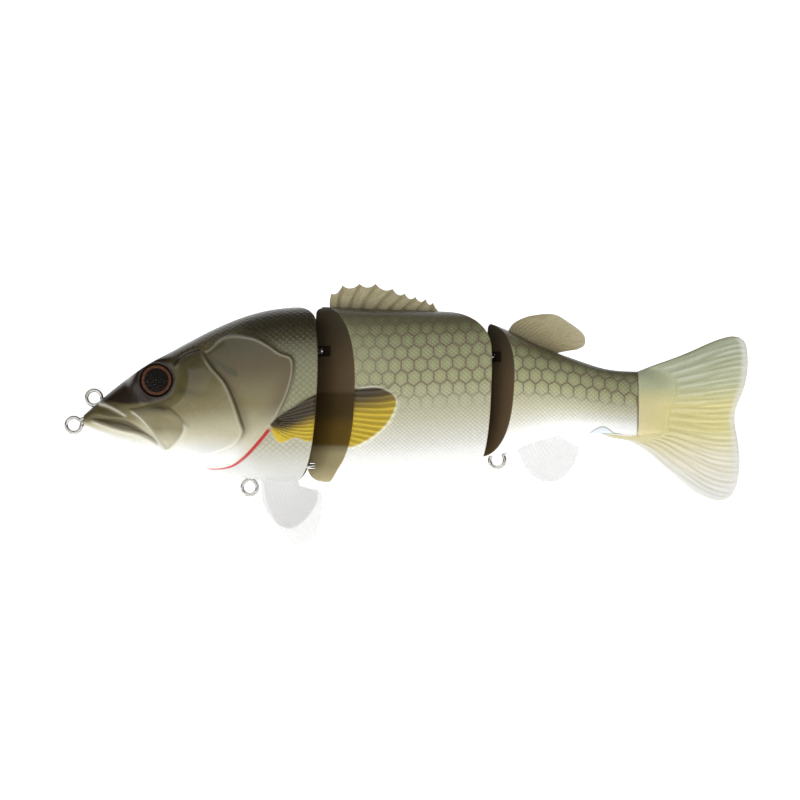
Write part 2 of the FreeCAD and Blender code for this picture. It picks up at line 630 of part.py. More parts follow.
def build():
    """Make every piece and return them by node name."""
    nodes = {}
    front_pin = "sizes.front_pin_at"
    rear_pin = "sizes.rear_pin_at"
    wall = value("sizes.wall")
    front_form = hull("front_form", FRONT_STATIONS, front_x)
    front_inner = hull("front_inner", FRONT_STATIONS[2:], front_x, wall)
    tail_form = hull("tail_form", TAIL_STATIONS, tail_x)
    tail_inner = hull("tail_inner", TAIL_STATIONS[:5], tail_x, wall)

    # wire hardware
    nodes["nose_line_tie"], nose_seat = wire_ring(
        "nose_line_tie", "0", "0", 24.0, "sizes.nose_shank")
    nodes["brow_line_tie"], brow_seat = wire_ring(
        "brow_line_tie", head_x(0.043), height(0.156), -28.0, "sizes.ring_shank")
    nodes["front_hook_hanger"], front_hanger_seat = wire_ring(
        "front_hook_hanger", head_x(0.697), height(-0.356), 90.0, "sizes.ring_shank")
    nodes["rear_hook_hanger"], rear_hanger_seat = wire_ring(
        "rear_hook_hanger", rear_pin + " + 1.7", height(-0.200), 53.0, "sizes.ring_shank")

    # hinges
    front_eye_bores, front_slots = [], []
    rear_eye_bores, rear_slots = [], []
    for word, share in (("upper", 0.421), ("lower", -0.234)):
        name = "front_hinge_eye_" + word
        nodes[name], bore = hinge_eye(name, front_pin, height(share))
        front_eye_bores.append(bore)
        front_slots.append(hinge_slot("front_slot_" + word, front_pin, height(share)))
    for word, share in (("upper", 0.389), ("lower", -0.067)):
        name = "rear_hinge_eye_" + word
        nodes[name], bore = hinge_eye(name, rear_pin, height(share))
        rear_eye_bores.append(bore)
        rear_slots.append(hinge_slot("rear_slot_" + word, rear_pin, height(share)))
    nodes["front_hinge_pin"], front_pin_bore = hinge_pin(
        "front_hinge_pin", front_pin, height(-0.305), height(0.533), height(-0.400))
    nodes["rear_hinge_pin"], rear_pin_bore = hinge_pin(
        "rear_hinge_pin", rear_pin, height(-0.137), height(0.495), height(-0.230))

    # ballast and hollows
    nodes["head_ballast"], head_sleeves, head_bores = slugs(
        "head_ballast", (head_x(0.462), head_x(0.602)), height(-0.133),
        "sizes.head_slug_radius", "sizes.head_slug_length")
    nodes["mid_ballast"], mid_sleeves, mid_bores = slugs(
        "mid_ballast", (mid_x(0.390), mid_x(0.570)), height(-0.170),
        "sizes.mid_slug_radius", "sizes.mid_slug_length")
    nodes["tail_ballast"], tail_sleeves, tail_bores = slugs(
        "tail_ballast", (tail_x(0.360),), height(0.045),
        "sizes.tail_slug_radius", "sizes.tail_slug_length")
    head_hollow = hollow("head_hollow", front_inner, head_x(0.420),
                         "%s - sizes.front_notch_belly - sizes.bulkhead" % front_pin,
                         head_sleeves)
    mid_hollow = hollow("mid_hollow", front_inner,
                        "(%s - sizes.front_prow_back + sizes.prow_slope * sizes.body_width / 2"
                        " + sizes.wall)" % front_pin,
                        "%s - sizes.rear_notch_belly - sizes.bulkhead" % rear_pin,
                        mid_sleeves)
    tail_hollow = hollow("tail_hollow", tail_inner,
                         "(%s + 0.35 * sizes.prow_slope * sizes.body_width + sizes.wall / 2)"
                         % rear_pin, tail_x(0.565), tail_sleeves)

    # fins
    nodes["spiny_dorsal_fin"], spiny_slot = spiny_dorsal()
    nodes["soft_dorsal_fin"], soft_slot = leaf_fin(
        "soft_dorsal_fin", SOFT_DORSAL_EDGE, [(0.400, 0.360), (0.130, 0.450)])
    nodes["anal_fin"], anal_slot = leaf_fin(
        "anal_fin", ANAL_EDGE, [(0.440, -0.030), (0.260, -0.060)])
    nodes["pelvic_fin_left"], pelvic_slot_left = pelvic_fin(
        "left", LEFT, "sizes.pelvic_splay_left", "0")
    nodes["pelvic_fin_right"], pelvic_slot_right = pelvic_fin(
        "right", RIGHT, "sizes.pelvic_splay_right", "sizes.pelvic_sweep_right")
    nodes["caudal_fin"], tongue_slot = caudal_fin()
    foot_opening = tail_cut_away()
    tail_peg = rod("tail_peg", "sizes.tail_peg_radius", "sizes.tongue_thickness + 1.2",
                   "sizes.wrist_at - sizes.tongue_length / 2",
                   "-sizes.tongue_thickness / 2 - 0.6", height(0.100), ALONG_Y)
    tail_peg_socket = rod("tail_peg_socket", "sizes.tail_peg_radius + sizes.seat_gap",
                          "sizes.tongue_thickness / 2 + 0.62",
                          "sizes.wrist_at - sizes.tongue_length / 2", "0",
                          height(0.100), ALONG_Y)

    # moulded halves
    head_pegs, head_sockets = pegs(
        "head", ((head_x(0.240), height(0.010)), (head_x(0.810), height(0.150))))
    mid_pegs, mid_sockets = pegs(
        "mid", ((mid_x(0.160), height(0.150)), (mid_x(0.780), height(0.150))))
    tail_pegs, tail_sockets = pegs(
        "tail", ((tail_x(0.130), height(0.230)), (tail_x(0.600), height(0.300))))
    for word, side in (("left", LEFT), ("right", RIGHT)):
        iris, lens, orbit, pocket = eye(side, word)
        nodes["eye_iris_" + word] = iris
        nodes["eye_lens_" + word] = lens
        left = side == LEFT

        name = "head_shell_" + word
        tools = [head_hollow, pocket, pelvic_slot_left if left else pelvic_slot_right]
        tools += nose_seat + brow_seat + front_hanger_seat + front_eye_bores + head_bores
        nodes[name] = shell(name, [front_form, head_rear(name + "_rear", side)], [orbit],
                            tools + ([] if left else head_sockets), head_pegs if left else ())

        name = "mid_shell_" + word
        tools = [mid_hollow, front_pin_bore, spiny_slot]
        tools += front_slots + rear_eye_bores + mid_bores
        forms = [front_form, mid_front(name + "_front", side), mid_rear(name + "_rear", side)]
        nodes[name] = shell(name, forms, [], tools + ([] if left else mid_sockets),
                            mid_pegs if left else ())

        name = "tail_shell_" + word
        tools = [tail_hollow, rear_pin_bore, soft_slot, anal_slot, tongue_slot, foot_opening]
        tools += rear_slots + rear_hanger_seat + tail_bores
        nodes[name] = shell(name, [tail_form, tail_front(name + "_front", side)], [],
                            tools + ([] if left else tail_sockets + [tail_peg_socket]),
                            tail_pegs + [tail_peg] if left else ())
    return nodes


def write(nodes):
    """Check every object, then write each piece to its own file."""
    doc.recompute()
    for item in doc.Objects:
        if "Invalid" in item.State or "Error" in item.State:
            raise RuntimeError("%s did not compute: %s" % (item.Name, item.State))
    for name, item in nodes.items():
        item.Label = name
        if item.Shape.isNull() or not item.Shape.isValid() or not item.Shape.Solids:
            raise RuntimeError("%s is not a valid solid" % name)
    os.makedirs("parts", exist_ok=True)
    for name, item in nodes.items():
        item.Shape.exportStep("parts/%s.step" % name)
        print("%-24s %9.1f mm3  %d solid" % (name, item.Shape.Volume, len(item.Shape.Solids)))


write(build())
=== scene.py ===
"""Jointed swimbait: painted hull skins, eyes, wire, fins and soft tail round the frame.

Lengths inside the functions are millimetres, with +X towards the tail and +Z up, and
become metres when a mesh is made.
"""
import json
import math

import bmesh
import bpy
import numpy as np
from bpy.props import FloatProperty, FloatVectorProperty, PointerProperty
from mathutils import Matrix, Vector


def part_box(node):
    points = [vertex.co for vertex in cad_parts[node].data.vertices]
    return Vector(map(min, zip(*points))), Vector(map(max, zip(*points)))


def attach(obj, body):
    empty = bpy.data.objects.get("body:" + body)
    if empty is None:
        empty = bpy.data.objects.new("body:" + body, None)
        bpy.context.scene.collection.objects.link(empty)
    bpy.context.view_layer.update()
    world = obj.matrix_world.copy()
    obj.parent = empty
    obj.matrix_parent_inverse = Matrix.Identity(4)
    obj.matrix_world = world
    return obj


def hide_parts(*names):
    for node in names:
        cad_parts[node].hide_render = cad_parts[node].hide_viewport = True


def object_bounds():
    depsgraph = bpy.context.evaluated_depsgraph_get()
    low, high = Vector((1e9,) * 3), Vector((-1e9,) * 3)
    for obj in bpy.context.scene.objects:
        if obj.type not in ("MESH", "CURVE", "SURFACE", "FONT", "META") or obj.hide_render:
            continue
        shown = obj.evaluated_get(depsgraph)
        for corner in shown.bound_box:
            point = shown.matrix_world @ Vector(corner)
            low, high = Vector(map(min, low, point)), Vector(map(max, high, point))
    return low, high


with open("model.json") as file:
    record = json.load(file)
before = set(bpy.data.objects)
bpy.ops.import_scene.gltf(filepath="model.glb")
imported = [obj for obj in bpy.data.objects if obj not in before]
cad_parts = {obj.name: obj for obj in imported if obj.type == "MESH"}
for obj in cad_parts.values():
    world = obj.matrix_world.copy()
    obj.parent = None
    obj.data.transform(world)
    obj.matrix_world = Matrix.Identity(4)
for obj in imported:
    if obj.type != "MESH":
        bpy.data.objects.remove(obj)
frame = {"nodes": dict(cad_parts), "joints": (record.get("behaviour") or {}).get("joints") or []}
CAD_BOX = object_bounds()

bl_info = {
    "name": "Jointed Swimbait",
    "version": (1, 0, 0),
    "blender": (4, 5, 0),
    "location": "View3D > Sidebar > Swimbait",
    "description": "Builds the painted skins, eyes, wire and fins of a jointed swimbait",
    "category": "Object",
}

MM = 1000.0             # millimetres in a metre
LEFT = -1               # the lure's left side lies towards -Y
RIGHT = 1


# ------------------------------------------------------------------ places from the frame

def corner(node, end, axis):
    """Coordinate of a node's lowest (end 0) or highest (end 1) corner, in millimetres."""
    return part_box(node)[end][axis] * MM


def middle(node):
    """Middle of a node's box, in millimetres."""
    low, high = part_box(node)
    return [(low[k] + high[k]) * MM / 2 for k in range(3)]


PIN_AT = {joint["name"]: joint["pos_m"][0] * MM for joint in frame["joints"]}
FRONT_PIN = PIN_AT["front_joint"]
REAR_PIN = PIN_AT["rear_joint"]
NOSE = corner("head_shell_left", 0, 0)
WRIST = corner("tail_shell_left", 1, 0)
HEIGHT = corner("mid_shell_left", 1, 2) - corner("mid_shell_left", 0, 2)
HALF_WIDTH = corner("head_shell_right", 1, 1)
EYE_AT = middle("eye_iris_left")
IRIS_RADIUS = (corner("eye_iris_left", 1, 0) - corner("eye_iris_left", 0, 0)) / 2
IRIS_TOP = -corner("eye_iris_left", 0, 1)
LENS_TOP = -corner("eye_lens_left", 0, 1)
WIRE_RADIUS = corner("nose_line_tie", 1, 1)
RING_RADIUS = -corner("nose_line_tie", 0, 0) - WIRE_RADIUS
HINGE_RING = corner("front_hinge_eye_upper", 1, 1) - WIRE_RADIUS


# ------------------------------------------------------------------ curves and distances

def smoothstep(low, high, value):
    """0 below low, 1 above high, and 3t^2 - 2t^3 between."""
    t = np.clip((value - low) / (high - low), 0.0, 1.0)
    return t * t * (3.0 - 2.0 * t)


def spline(knots, values, x):
    """Natural cubic spline: cubic between knots, no bending at either end."""
    count = len(knots)
    gaps = np.diff(knots)
    system = np.eye(count)
    bends = np.zeros(count)
    for i in range(1, count - 1):
        system[i, i - 1:i + 2] = gaps[i - 1], 2 * (gaps[i - 1] + gaps[i]), gaps[i]
        rise = (values[i + 1] - values[i]) / gaps[i]
        bends[i] = 6 * (rise - (values[i] - values[i - 1]) / gaps[i - 1])
    bends = np.linalg.solve(system, bends)
    k = np.clip(np.searchsorted(knots, x) - 1, 0, count - 2)
    gap = gaps[k]
    after = x - knots[k]
    before = knots[k + 1] - x
    return (bends[k] * before ** 3 + bends[k + 1] * after ** 3) / (6 * gap) \
        + (values[k] / gap - bends[k] * gap / 6) * before \
        + (values[k + 1] / gap - bends[k + 1] * gap / 6) * after


def curve_through(points, count):
    """Catmull-Rom curve through points, evenly spaced along its length."""
    p = np.asarray(points, float)
    p = np.vstack([2 * p[0] - p[1], p, 2 * p[-1] - p[-2]])
    t = np.linspace(0, 1, 24, endpoint=False)[:, None]
    pieces = []
    for a, b, c, d in zip(p, p[1:], p[2:], p[3:]):
        pieces.append(0.5 * (2 * b + (c - a) * t + (2 * a - 5 * b + 4 * c - d) * t ** 2
                             + (3 * b - a - 3 * c + d) * t ** 3))
    fine = np.vstack(pieces + [p[-2:-1]])
    run = np.concatenate([[0], np.cumsum(np.linalg.norm(np.diff(fine, axis=0), axis=1))])
    at = np.linspace(0, run[-1], count)
    return np.stack([np.interp(at, run, fine[:, k]) for k in range(p.shape[1])], axis=1)


def from_line(x, z, points, reach, count=60):
    """Distance of each place (x, z) to a smooth line, its side and how far along it lies.

    Side is +1 to the left of the line's direction and -1 to its right. Only places
    within reach are measured, and the others get the distance reach.
    """
    line = curve_through(points, count)
    distance = np.full(x.shape, float(reach))
    side = np.ones(x.shape)
    along = np.zeros(x.shape)
    near = (x > line[:, 0].min() - reach) & (x < line[:, 0].max() + reach) \
        & (z > line[:, 1].min() - reach) & (z < line[:, 1].max() + reach)
    px, pz = x[near], z[near]
    best = np.full(px.shape, float(reach))
    best_side = np.ones(px.shape)
    best_along = np.zeros(px.shape)
    for i, (a, b) in enumerate(zip(line, line[1:])):
        run = b - a
        share = np.clip(((px - a[0]) * run[0] + (pz - a[1]) * run[1]) / (run @ run), 0, 1)
        dx, dz = px - a[0] - share * run[0], pz - a[1] - share * run[1]
        d = np.hypot(dx, dz)
        closer = d < best
        best = np.where(closer, d, best)
        best_side = np.where(closer, np.where(run[0] * dz - run[1] * dx > 0, 1.0, -1.0), best_side)
        best_along = np.where(closer, (i + share) / (count - 1), best_along)
    distance[near], side[near], along[near] = best, best_side, best_along
    return distance, side, along


def inside_depth(x, z, loop, reach, count=90):
    """Depth of each place inside a smooth closed loop, negative outside it."""
    closed = list(loop) + [loop[0]]
    outline = curve_through(closed, count)
    crossings = np.zeros(x.shape, int)
    for (x0, z0), (x1, z1) in zip(outline, outline[1:]):
        if z0 == z1:
            continue
        spans = (z0 > z) != (z1 > z)
        crossings += spans & (x < (x1 - x0) * (z - z0) / (z1 - z0) + x0)
    distance = from_line(x, z, closed, reach, count)[0]
    return np.where(crossings % 2 == 1, distance, -distance)


# ------------------------------------------------------------------ meshes

def new_mesh_object(name, points, faces, fields=None):
    """Object of points in millimetres, with smooth faces and named vertex fields."""
    mesh = bpy.data.meshes.new(name)
    mesh.vertices.add(len(points))
    mesh.vertices.foreach_set("co", (np.asarray(points) / MM).astype(np.float32).ravel())
    sizes = np.concatenate([np.full(len(group), len(group[0])) for group in faces])
    corners = np.concatenate([np.asarray(group).ravel() for group in faces])
    mesh.loops.add(len(corners))
    mesh.loops.foreach_set("vertex_index", corners.astype(np.int32))
    mesh.polygons.add(len(sizes))
    starts = np.concatenate([[0], np.cumsum(sizes)[:-1]])
    mesh.polygons.foreach_set("loop_start", starts.astype(np.int32))
    mesh.polygons.foreach_set("use_smooth", np.ones(len(sizes), bool))
    mesh.update(calc_edges=True)
    for field, values in (fields or {}).items():
        values = np.asarray(values, np.float32)
        kind, key = {1: ("FLOAT", "value"), 3: ("FLOAT_VECTOR", "vector"),
                     4: ("FLOAT_COLOR", "color")}[values.reshape(len(points), -1).shape[1]]
        mesh.attributes.new(field, kind, "POINT").data.foreach_set(key, values.ravel())
    mesh.validate()
    piece = bpy.data.objects.new(name, mesh)
    bpy.context.scene.collection.objects.link(piece)
    return piece


def grid_faces(rows, columns, wrap_columns=False, flip=False):
    """Quads of a grid whose vertices run row by row; columns may close into a ring."""
    i, j = np.meshgrid(np.arange(rows - 1), np.arange(columns - (not wrap_columns)),
                       indexing="ij")
    nxt = (j + 1) % columns
    quads = np.stack([i * columns + j, i * columns + nxt,
                      (i + 1) * columns + nxt, (i + 1) * columns + j], axis=-1).reshape(-1, 4)
    return quads[:, ::-1] if flip else quads


def surface_normals(points):
    """Unit normals of a grid of points, from its rows crossed with its columns."""
    rows = np.gradient(points, axis=0)
    columns = np.gradient(points, axis=1)
    normal = np.cross(columns, rows)
    return normal / np.maximum(np.linalg.norm(normal, axis=-1, keepdims=True), 1e-9)


def clean(piece):
    """Merge doubled vertices and point every face outwards."""
    work = bmesh.new()
    work.from_mesh(piece.data)
    bmesh.ops.remove_doubles(work, verts=work.verts, dist=2e-6)
    bmesh.ops.dissolve_degenerate(work, edges=work.edges, dist=1e-7)
    bmesh.ops.recalc_face_normals(work, faces=work.faces)
    work.to_mesh(piece.data)
    work.free()
    piece.data.set_sharp_from_angle(angle=math.radians(50))


def finish(piece, body, slot, material, *nodes):
    """Give a piece its material and its body, and hide the nodes it stands for. Its slot is not
    used.
    """
    piece.data.materials.append(material)
    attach(piece, body)
    if nodes:
        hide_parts(*nodes)
    return piece


# ------------------------------------------------------------------ hull form

# Stations: along, back, belly, widest level, half width. Along is a share of nose to
# rear pin (front form) or rear pin to wrist (tail form), heights are shares of HEIGHT
# above the line tie and widths are shares of HALF_WIDTH.
FRONT_FORM = np.array((
    (0.000, 0.057, -0.011, 0.023, 0.101),
    (0.041, 0.141, -0.070, 0.019, 0.266),
    (0.106, 0.263, -0.149, 0.029, 0.481),
    (0.204, 0.404, -0.217, 0.048, 0.696),
    (0.319, 0.545, -0.270, 0.076, 0.861),
    (0.433, 0.644, -0.314, 0.095, 0.962),
    (0.564, 0.674, -0.326, 0.105, 1.000),
    (0.711, 0.661, -0.320, 0.114, 0.962),
    (0.859, 0.650, -0.291, 0.133, 0.861),
    (1.006, 0.632, -0.248, 0.152, 0.734),
))
TAIL_FORM = np.array((
    (-0.144, 0.615, -0.189, 0.190, 0.759),
    (0.108, 0.541, -0.156, 0.200, 0.690),
    (0.336, 0.448, -0.088, 0.190, 0.557),
    (0.565, 0.377, -0.053, 0.171, 0.430),
    (0.794, 0.318, -0.050, 0.143, 0.316),
    (1.000, 0.305, -0.065, 0.124, 0.247),
))
SQUARENESS = 2.55       # exponent of the hull's sections: 2 is an ellipse
RELIEF_ROOM = 1.0       # width left for the moulded fins and plates
USUAL_SECTION = (14.0, 26.0, 26.0, 0.0)     # half width, up, down and level that even steps suit


class Form:
    """Hull form: at every x a section whose two halves are superellipse quarters.

    y = half * sin(a)^(2/n) and z = level + reach * cos(a)^(2/n), where reach is the
    height above the widest level for a below 90 degrees and the depth under it beyond,
    and a is spaced so that steps round the girth are even.
    """

    def __init__(self, table, start, end):
        self.at = start + table[:, 0] * (end - start)
        self.back, self.belly, self.level = (table[:, 1:4] * HEIGHT).T
        self.half = table[:, 4] * (HALF_WIDTH - RELIEF_ROOM)
        angles = np.linspace(0, math.pi, 4001)
        y, z = self.section(angles, *USUAL_SECTION)
        run = np.concatenate([[0], np.cumsum(np.hypot(np.diff(y), np.diff(z)))])
        self.angles = angles
        self.shares = run / run[-1]

    @staticmethod
    def section(angle, half, up, down, level):
        """y and z of a section at an angle from the back, 0, to the belly, pi."""
        power = 2.0 / SQUARENESS
        cosine = np.cos(angle)
        y = half * np.abs(np.sin(angle)) ** power
        y = np.where(np.sin(angle) < 1e-9, 0.0, y)
        reach = np.where(cosine >= 0, up, -down)
        return y, level + reach * np.abs(cosine) ** power

    def sizes(self, x):
        """Back, belly, widest level and half width at x, each a spline through the stations."""
        return [spline(self.at, column, x)
                for column in (self.back, self.belly, self.level, self.half)]

    def point(self, x, share):
        """y and z at a place along and a share of the girth, from back 0 to belly 1."""
        back, belly, level, half = self.sizes(x)
        angle = np.interp(share, self.shares, self.angles)
        return self.section(angle, half, back - level, level - belly, level)

    def skin_y(self, x, z):
        """Half width of the hull at (x, z)."""
        back, belly, level, half = self.sizes(x)
        reach = np.where(z >= level, back - level, level - belly)
        high = np.clip(np.abs(z - level) / reach, 0, 1)
        return half * (1 - high ** SQUARENESS) ** (1 / SQUARENESS)


FRONT = Form(FRONT_FORM, NOSE, REAR_PIN)
TAIL = Form(TAIL_FORM, REAR_PIN, WRIST)


# ------------------------------------------------------------------ joint faces

NOTCH_SLOPE = 0.42      # run of a notch face for each mm of width
PROW_SLOPE = 0.9        # run of a prow face for each mm of width
SLOT_BEHIND_PIN = 2.7   # how far behind the pin a slot reaches
SLOT_HALF_HEIGHT = 1.5  # half height of the dish at an upper slot's mouth
THROAT_HALF_HEIGHT = 0.85                   # half height of the room that a hinge eye turns in
SLOT_RECESS = 0.5       # how far a slot's mouth is dished outside the hinge eye's room
EYE_ROOM = 2.6          # half width that a turning hinge eye needs
EDGE_ROUND = 0.45       # rounding where a joint face meets the skin
ROUNDING_STEPS = 5      # points along that rounding, with both its ends
EDGE_SKIP = 2           # columns of skin that the rounding takes the place of
FAR = 99.0              # farther than anything on a joint face


def corner_arc(into, radius):
    """Fall of a quarter circle of a radius, a distance into the corner."""
    into = np.clip(into, 0, radius)
    return radius - np.sqrt(radius ** 2 - into ** 2)


def straight_face(back_at, back_z, belly_at, belly_z, top_round=0.0, low_round=0.0):
    """Centre line of a joint face: x runs evenly between two heights.

    Its corners at the back and the belly may turn aft along quarter circles.
    """
    def line(z):
        x = belly_at + (back_at - belly_at) * (z - belly_z) / (back_z - belly_z)
        return x + corner_arc(z - (back_z - top_round), top_round) \
            + corner_arc(belly_z + low_round - z, low_round)
    return line


def rounded_face(back_at, top, upper, belly_at, low, lower):
    """Centre line whose ends turn forward along arcs of radius upper and lower."""
    def line(z):
        x = straight_face(back_at, top - upper, belly_at, low + lower)(z)
        above = np.clip(z - (top - upper), 0, upper)
        x = np.where(z > top - upper, back_at - upper + np.sqrt(upper ** 2 - above ** 2), x)
        if lower:
            below = np.clip(low + lower - z, 0, lower)
            x = np.where(z < low + lower, belly_at - lower
                         + np.sqrt(lower ** 2 - below ** 2), x)
        return x
    return line


def slotted(line, slope, pin, heights):
    """Prow face: x runs back with y, and is cut away at the heights of the hinge eyes.

    A slot reaches behind the pin over the eye's room. The upper one is a shallow dish
    outside it.
    """
    def face(y, z):
        x = line(z) + slope * y
        floor = pin + SLOT_BEHIND_PIN
        for height in heights:
            away = np.where(x < floor, np.abs(z - height), FAR)
            dish = np.minimum(x + SLOT_RECESS, floor)
            if height == max(heights):
                x = np.where(away < SLOT_HALF_HEIGHT, dish, x)
            x = np.where((away < THROAT_HALF_HEIGHT) & (y < EYE_ROOM), floor, x)
        return x
    return face


def plain(line, slope):
    """Joint face without slots: x is the centre line's and runs back with y."""
    def face(y, z):
        return line(z) + slope * y
    return face


def flat_face(at):
    """End face square to the lure: the same x everywhere."""
    def face(y, z):
        return at + 0.0 * (y + z)
    return face


def edge_along(form, face, shares, low, high):
    """Where the skin meets a joint face on each girth line, by halving the interval."""
    low = np.full(shares.shape, float(low))
    high = np.full(shares.shape, float(high))
    for _ in range(40):
        mid = (low + high) / 2
        y, z = form.point(mid, shares)
        ahead = mid < face(y, z)
        low, high = np.where(ahead, mid, low), np.where(ahead, high, mid)
    return (low + high) / 2


# ------------------------------------------------------------------ half skins

def half_skin(form, front_face, rear_face, front_range, rear_range, rows, columns,
              face_columns, sharp_heights, dress):
    """Grid of one half: front joint face, skin and rear joint face on every girth line.

    Row i is a girth line from back to belly. Along it the columns run from the middle
    plane out over the front joint face, round its edge, back along the skin, round the
    rear edge and in over the rear face. Each edge is a quadratic curve between a point
    EDGE_ROUND inside the face, the sharp corner and a point EDGE_ROUND along the skin.
    dress moves the skin points and returns the vertex fields.
    """
    shares = np.linspace(0, 1, rows)
    edge_x = edge_along(form, front_face, shares, *front_range)
    edge_z = form.point(edge_x, shares)[1]
    extra = [np.interp(-(height + offset), -edge_z, shares)
             for height in sharp_heights
             for half in (SLOT_HALF_HEIGHT, THROAT_HALF_HEIGHT)
             for offset in (-half - 0.01, -half + 0.01, half - 0.01, half + 0.01)]
    shares = np.sort(np.concatenate([shares, extra]))

    start = edge_along(form, front_face, shares, *front_range)
    end = edge_along(form, rear_face, shares, *rear_range)
    x = start[:, None] + np.linspace(0, 1, columns) * (end - start)[:, None]
    girth_share = np.repeat(shares[:, None], columns, axis=1)
    y, z = form.point(x, girth_share)
    skin = np.stack([x, y, z], axis=-1)
    skin, fields = dress(skin, surface_normals(skin))

    def joint(face, edge):
        width = edge[:, None, 1]
        reach = width - np.minimum(EDGE_ROUND, 0.4 * width)
        room = np.minimum(EYE_ROOM, 0.5 * reach)
        inner = face_columns // 3
        across = np.concatenate([
            np.linspace(0, 0.998, inner)[None] * room,
            room * 1.002 + np.linspace(0, 1, face_columns - inner)[None]
            * (reach - room * 1.002)], axis=1)
        level = np.repeat(edge[:, None, 2], face_columns, axis=1)
        return np.stack([face(across, level), across, level], axis=-1)

    def rounding(face_end, sharp, skin_start):
        t = np.linspace(0, 1, ROUNDING_STEPS)[None, 1:-1, None]
        return (1 - t) ** 2 * face_end[:, None] + 2 * t * (1 - t) * sharp[:, None] \
            + t ** 2 * skin_start[:, None]

    front = joint(front_face, skin[:, 0])
    rear = joint(rear_face, skin[:, -1])
    skip = EDGE_SKIP
    grid = np.concatenate([
        front, rounding(front[:, -1], skin[:, 0], skin[:, skip]),
        skin[:, skip:-skip],
        rounding(rear[:, -1], skin[:, -1], skin[:, -1 - skip])[:, ::-1],
        rear[:, ::-1]], axis=1)
    ahead = face_columns + ROUNDING_STEPS - 2
    spread = {}
    for name, values in fields.items():
        kept = values[:, skip:-skip]
        first = np.repeat(values[:, skip:skip + 1], ahead, axis=1)
        last = np.repeat(values[:, -1 - skip:-skip], ahead, axis=1)
        spread[name] = np.concatenate([first, kept, last], axis=1)
    is_face = np.zeros(grid.shape[:2])
    is_face[:, :ahead - 1] = 1.0
    is_face[:, -ahead + 1:] = 1.0
    return grid, spread, is_face


def close_half(name, side, grid, fields):
    """Mesh of a half skin, mirrored to its side and closed on the middle plane."""
    rows, columns = grid.shape[:2]
    points = grid.reshape(-1, 3).copy()
    points[:, 1] *= side
    index = np.arange(rows * columns).reshape(rows, columns)
    border = np.concatenate([index[:, 0], index[-1, 1:], index[-2::-1, -1], index[0, -2:0:-1]])
    points[border, 1] = 0.0
    faces = grid_faces(rows, columns, flip=side == LEFT)
    cap = border[None, :] if side == RIGHT else border[None, ::-1]
    flat_fields = {key: values.reshape(rows * columns, -1) for key, values in fields.items()}
    piece = new_mesh_object(name, points, [faces, cap], flat_fields)
    clean(piece)
    return piece


# ------------------------------------------------------------------ head relief, in mm

GILL_EDGE = ((40.5, 22.3), (46.5, 26.1), (54.0, 25.8), (58.8, 23.7), (62.4, 21.3),
             (66.0, 19.8), (66.4, 15.6), (64.9, 9.6), (62.0, 3.6), (59.0, -0.9),
             (55.5, -5.2), (51.5, -9.3), (47.5, -11.6), (41.7, -12.4), (33.0, -11.8))
CHEEK_EDGE = ((39.0, 22.8), (39.8, 21.1), (42.6, 17.1), (46.5, 12.6), (49.0, 7.2),
              (51.0, 1.2), (51.8, -1.8), (50.0, -4.8), (45.6, -7.2), (40.0, -8.7),
              (33.0, -9.2))
JAW_PLATE = ((17.5, 4.6), (19.8, 5.0), (22.5, 5.7), (26.0, 6.2), (28.7, 5.6), (31.5, 3.7),
             (33.6, 1.4), (34.5, -0.4), (33.9, -2.6), (32.1, -5.0), (30.1, -6.8), (28.6, -7.2),
             (27.5, -6.0), (26.0, -4.0), (23.9, -1.2), (21.2, 1.8))
PLATE_CREST = ((17.5, 4.5), (19.4, 3.3), (21.2, 1.8), (23.9, -1.2), (26.0, -4.0), (27.7, -5.9),
               (29.2, -7.0))
PLATE_RIM = ((33.6, 1.4), (34.5, -0.4), (33.9, -2.6), (32.1, -5.0), (30.1, -6.8), (28.2, -7.2),
             (26.0, -6.0))
LIP_RIDGE = ((7.4, 6.4), (10.5, 5.8), (14.0, 4.3), (16.9, 2.5))
MOUTH_LINE = ((4.2, 2.3), (7.0, 2.2), (11.0, 1.5), (15.0, 0.8), (18.6, -0.4), (22.4, -2.6),
              (25.9, -5.4))
LOWER_RIDGE = ((4.6, 1.6), (7.0, 0.8), (10.2, -0.3), (15.0, -1.7), (19.8, -2.7), (23.2, -4.1),
               (26.0, -5.8), (28.4, -7.3))
MOUTH_BAND = ((5.4, 2.0), (10.2, 2.1), (15.0, 1.8), (17.7, 1.0), (21.9, -1.8), (25.0, -4.0),
              (26.2, -5.6), (23.0, -3.6), (19.8, -2.2), (15.0, -1.2), (10.2, 0.3))
UNDER_LIP = ((7.2, 4.6), (10.5, 5.0), (13.6, 3.7), (16.4, 2.3), (13.0, 2.1), (9.0, 2.8))
ORBIT_GROOVE = ((19.2, 12.6), (19.6, 9.8), (21.6, 7.6), (24.6, 6.9), (28.2, 7.8), (30.6, 9.8))
BROW_CREASE = ((30.0, 17.0), (31.6, 19.2), (34.2, 21.3), (37.2, 22.3), (39.6, 22.2))
STREAK = ((40.8, 22.1), (42.5, 20.3), (45.5, 18.9), (48.8, 16.9), (50.2, 14.9),
          (48.0, 14.5), (44.5, 17.0), (41.8, 19.4))
RED_LINE = ((59.6, -0.6), (57.6, -3.2), (54.8, -6.4), (51.5, -9.6), (47.6, -12.0),
            (42.6, -12.7), (39.6, -12.4))
SNOUT_MASK = ((2.0, 3.0), (4.2, 3.9), (7.8, 6.4), (10.5, 7.0), (16.4, 6.2), (20.5, 6.5),
              (24.9, 7.4), (30.1, 9.6), (31.6, 12.0), (31.2, 15.6), (31.8, 19.0), (33.0, 27.0),
              (20.0, 30.0), (2.0, 20.0))
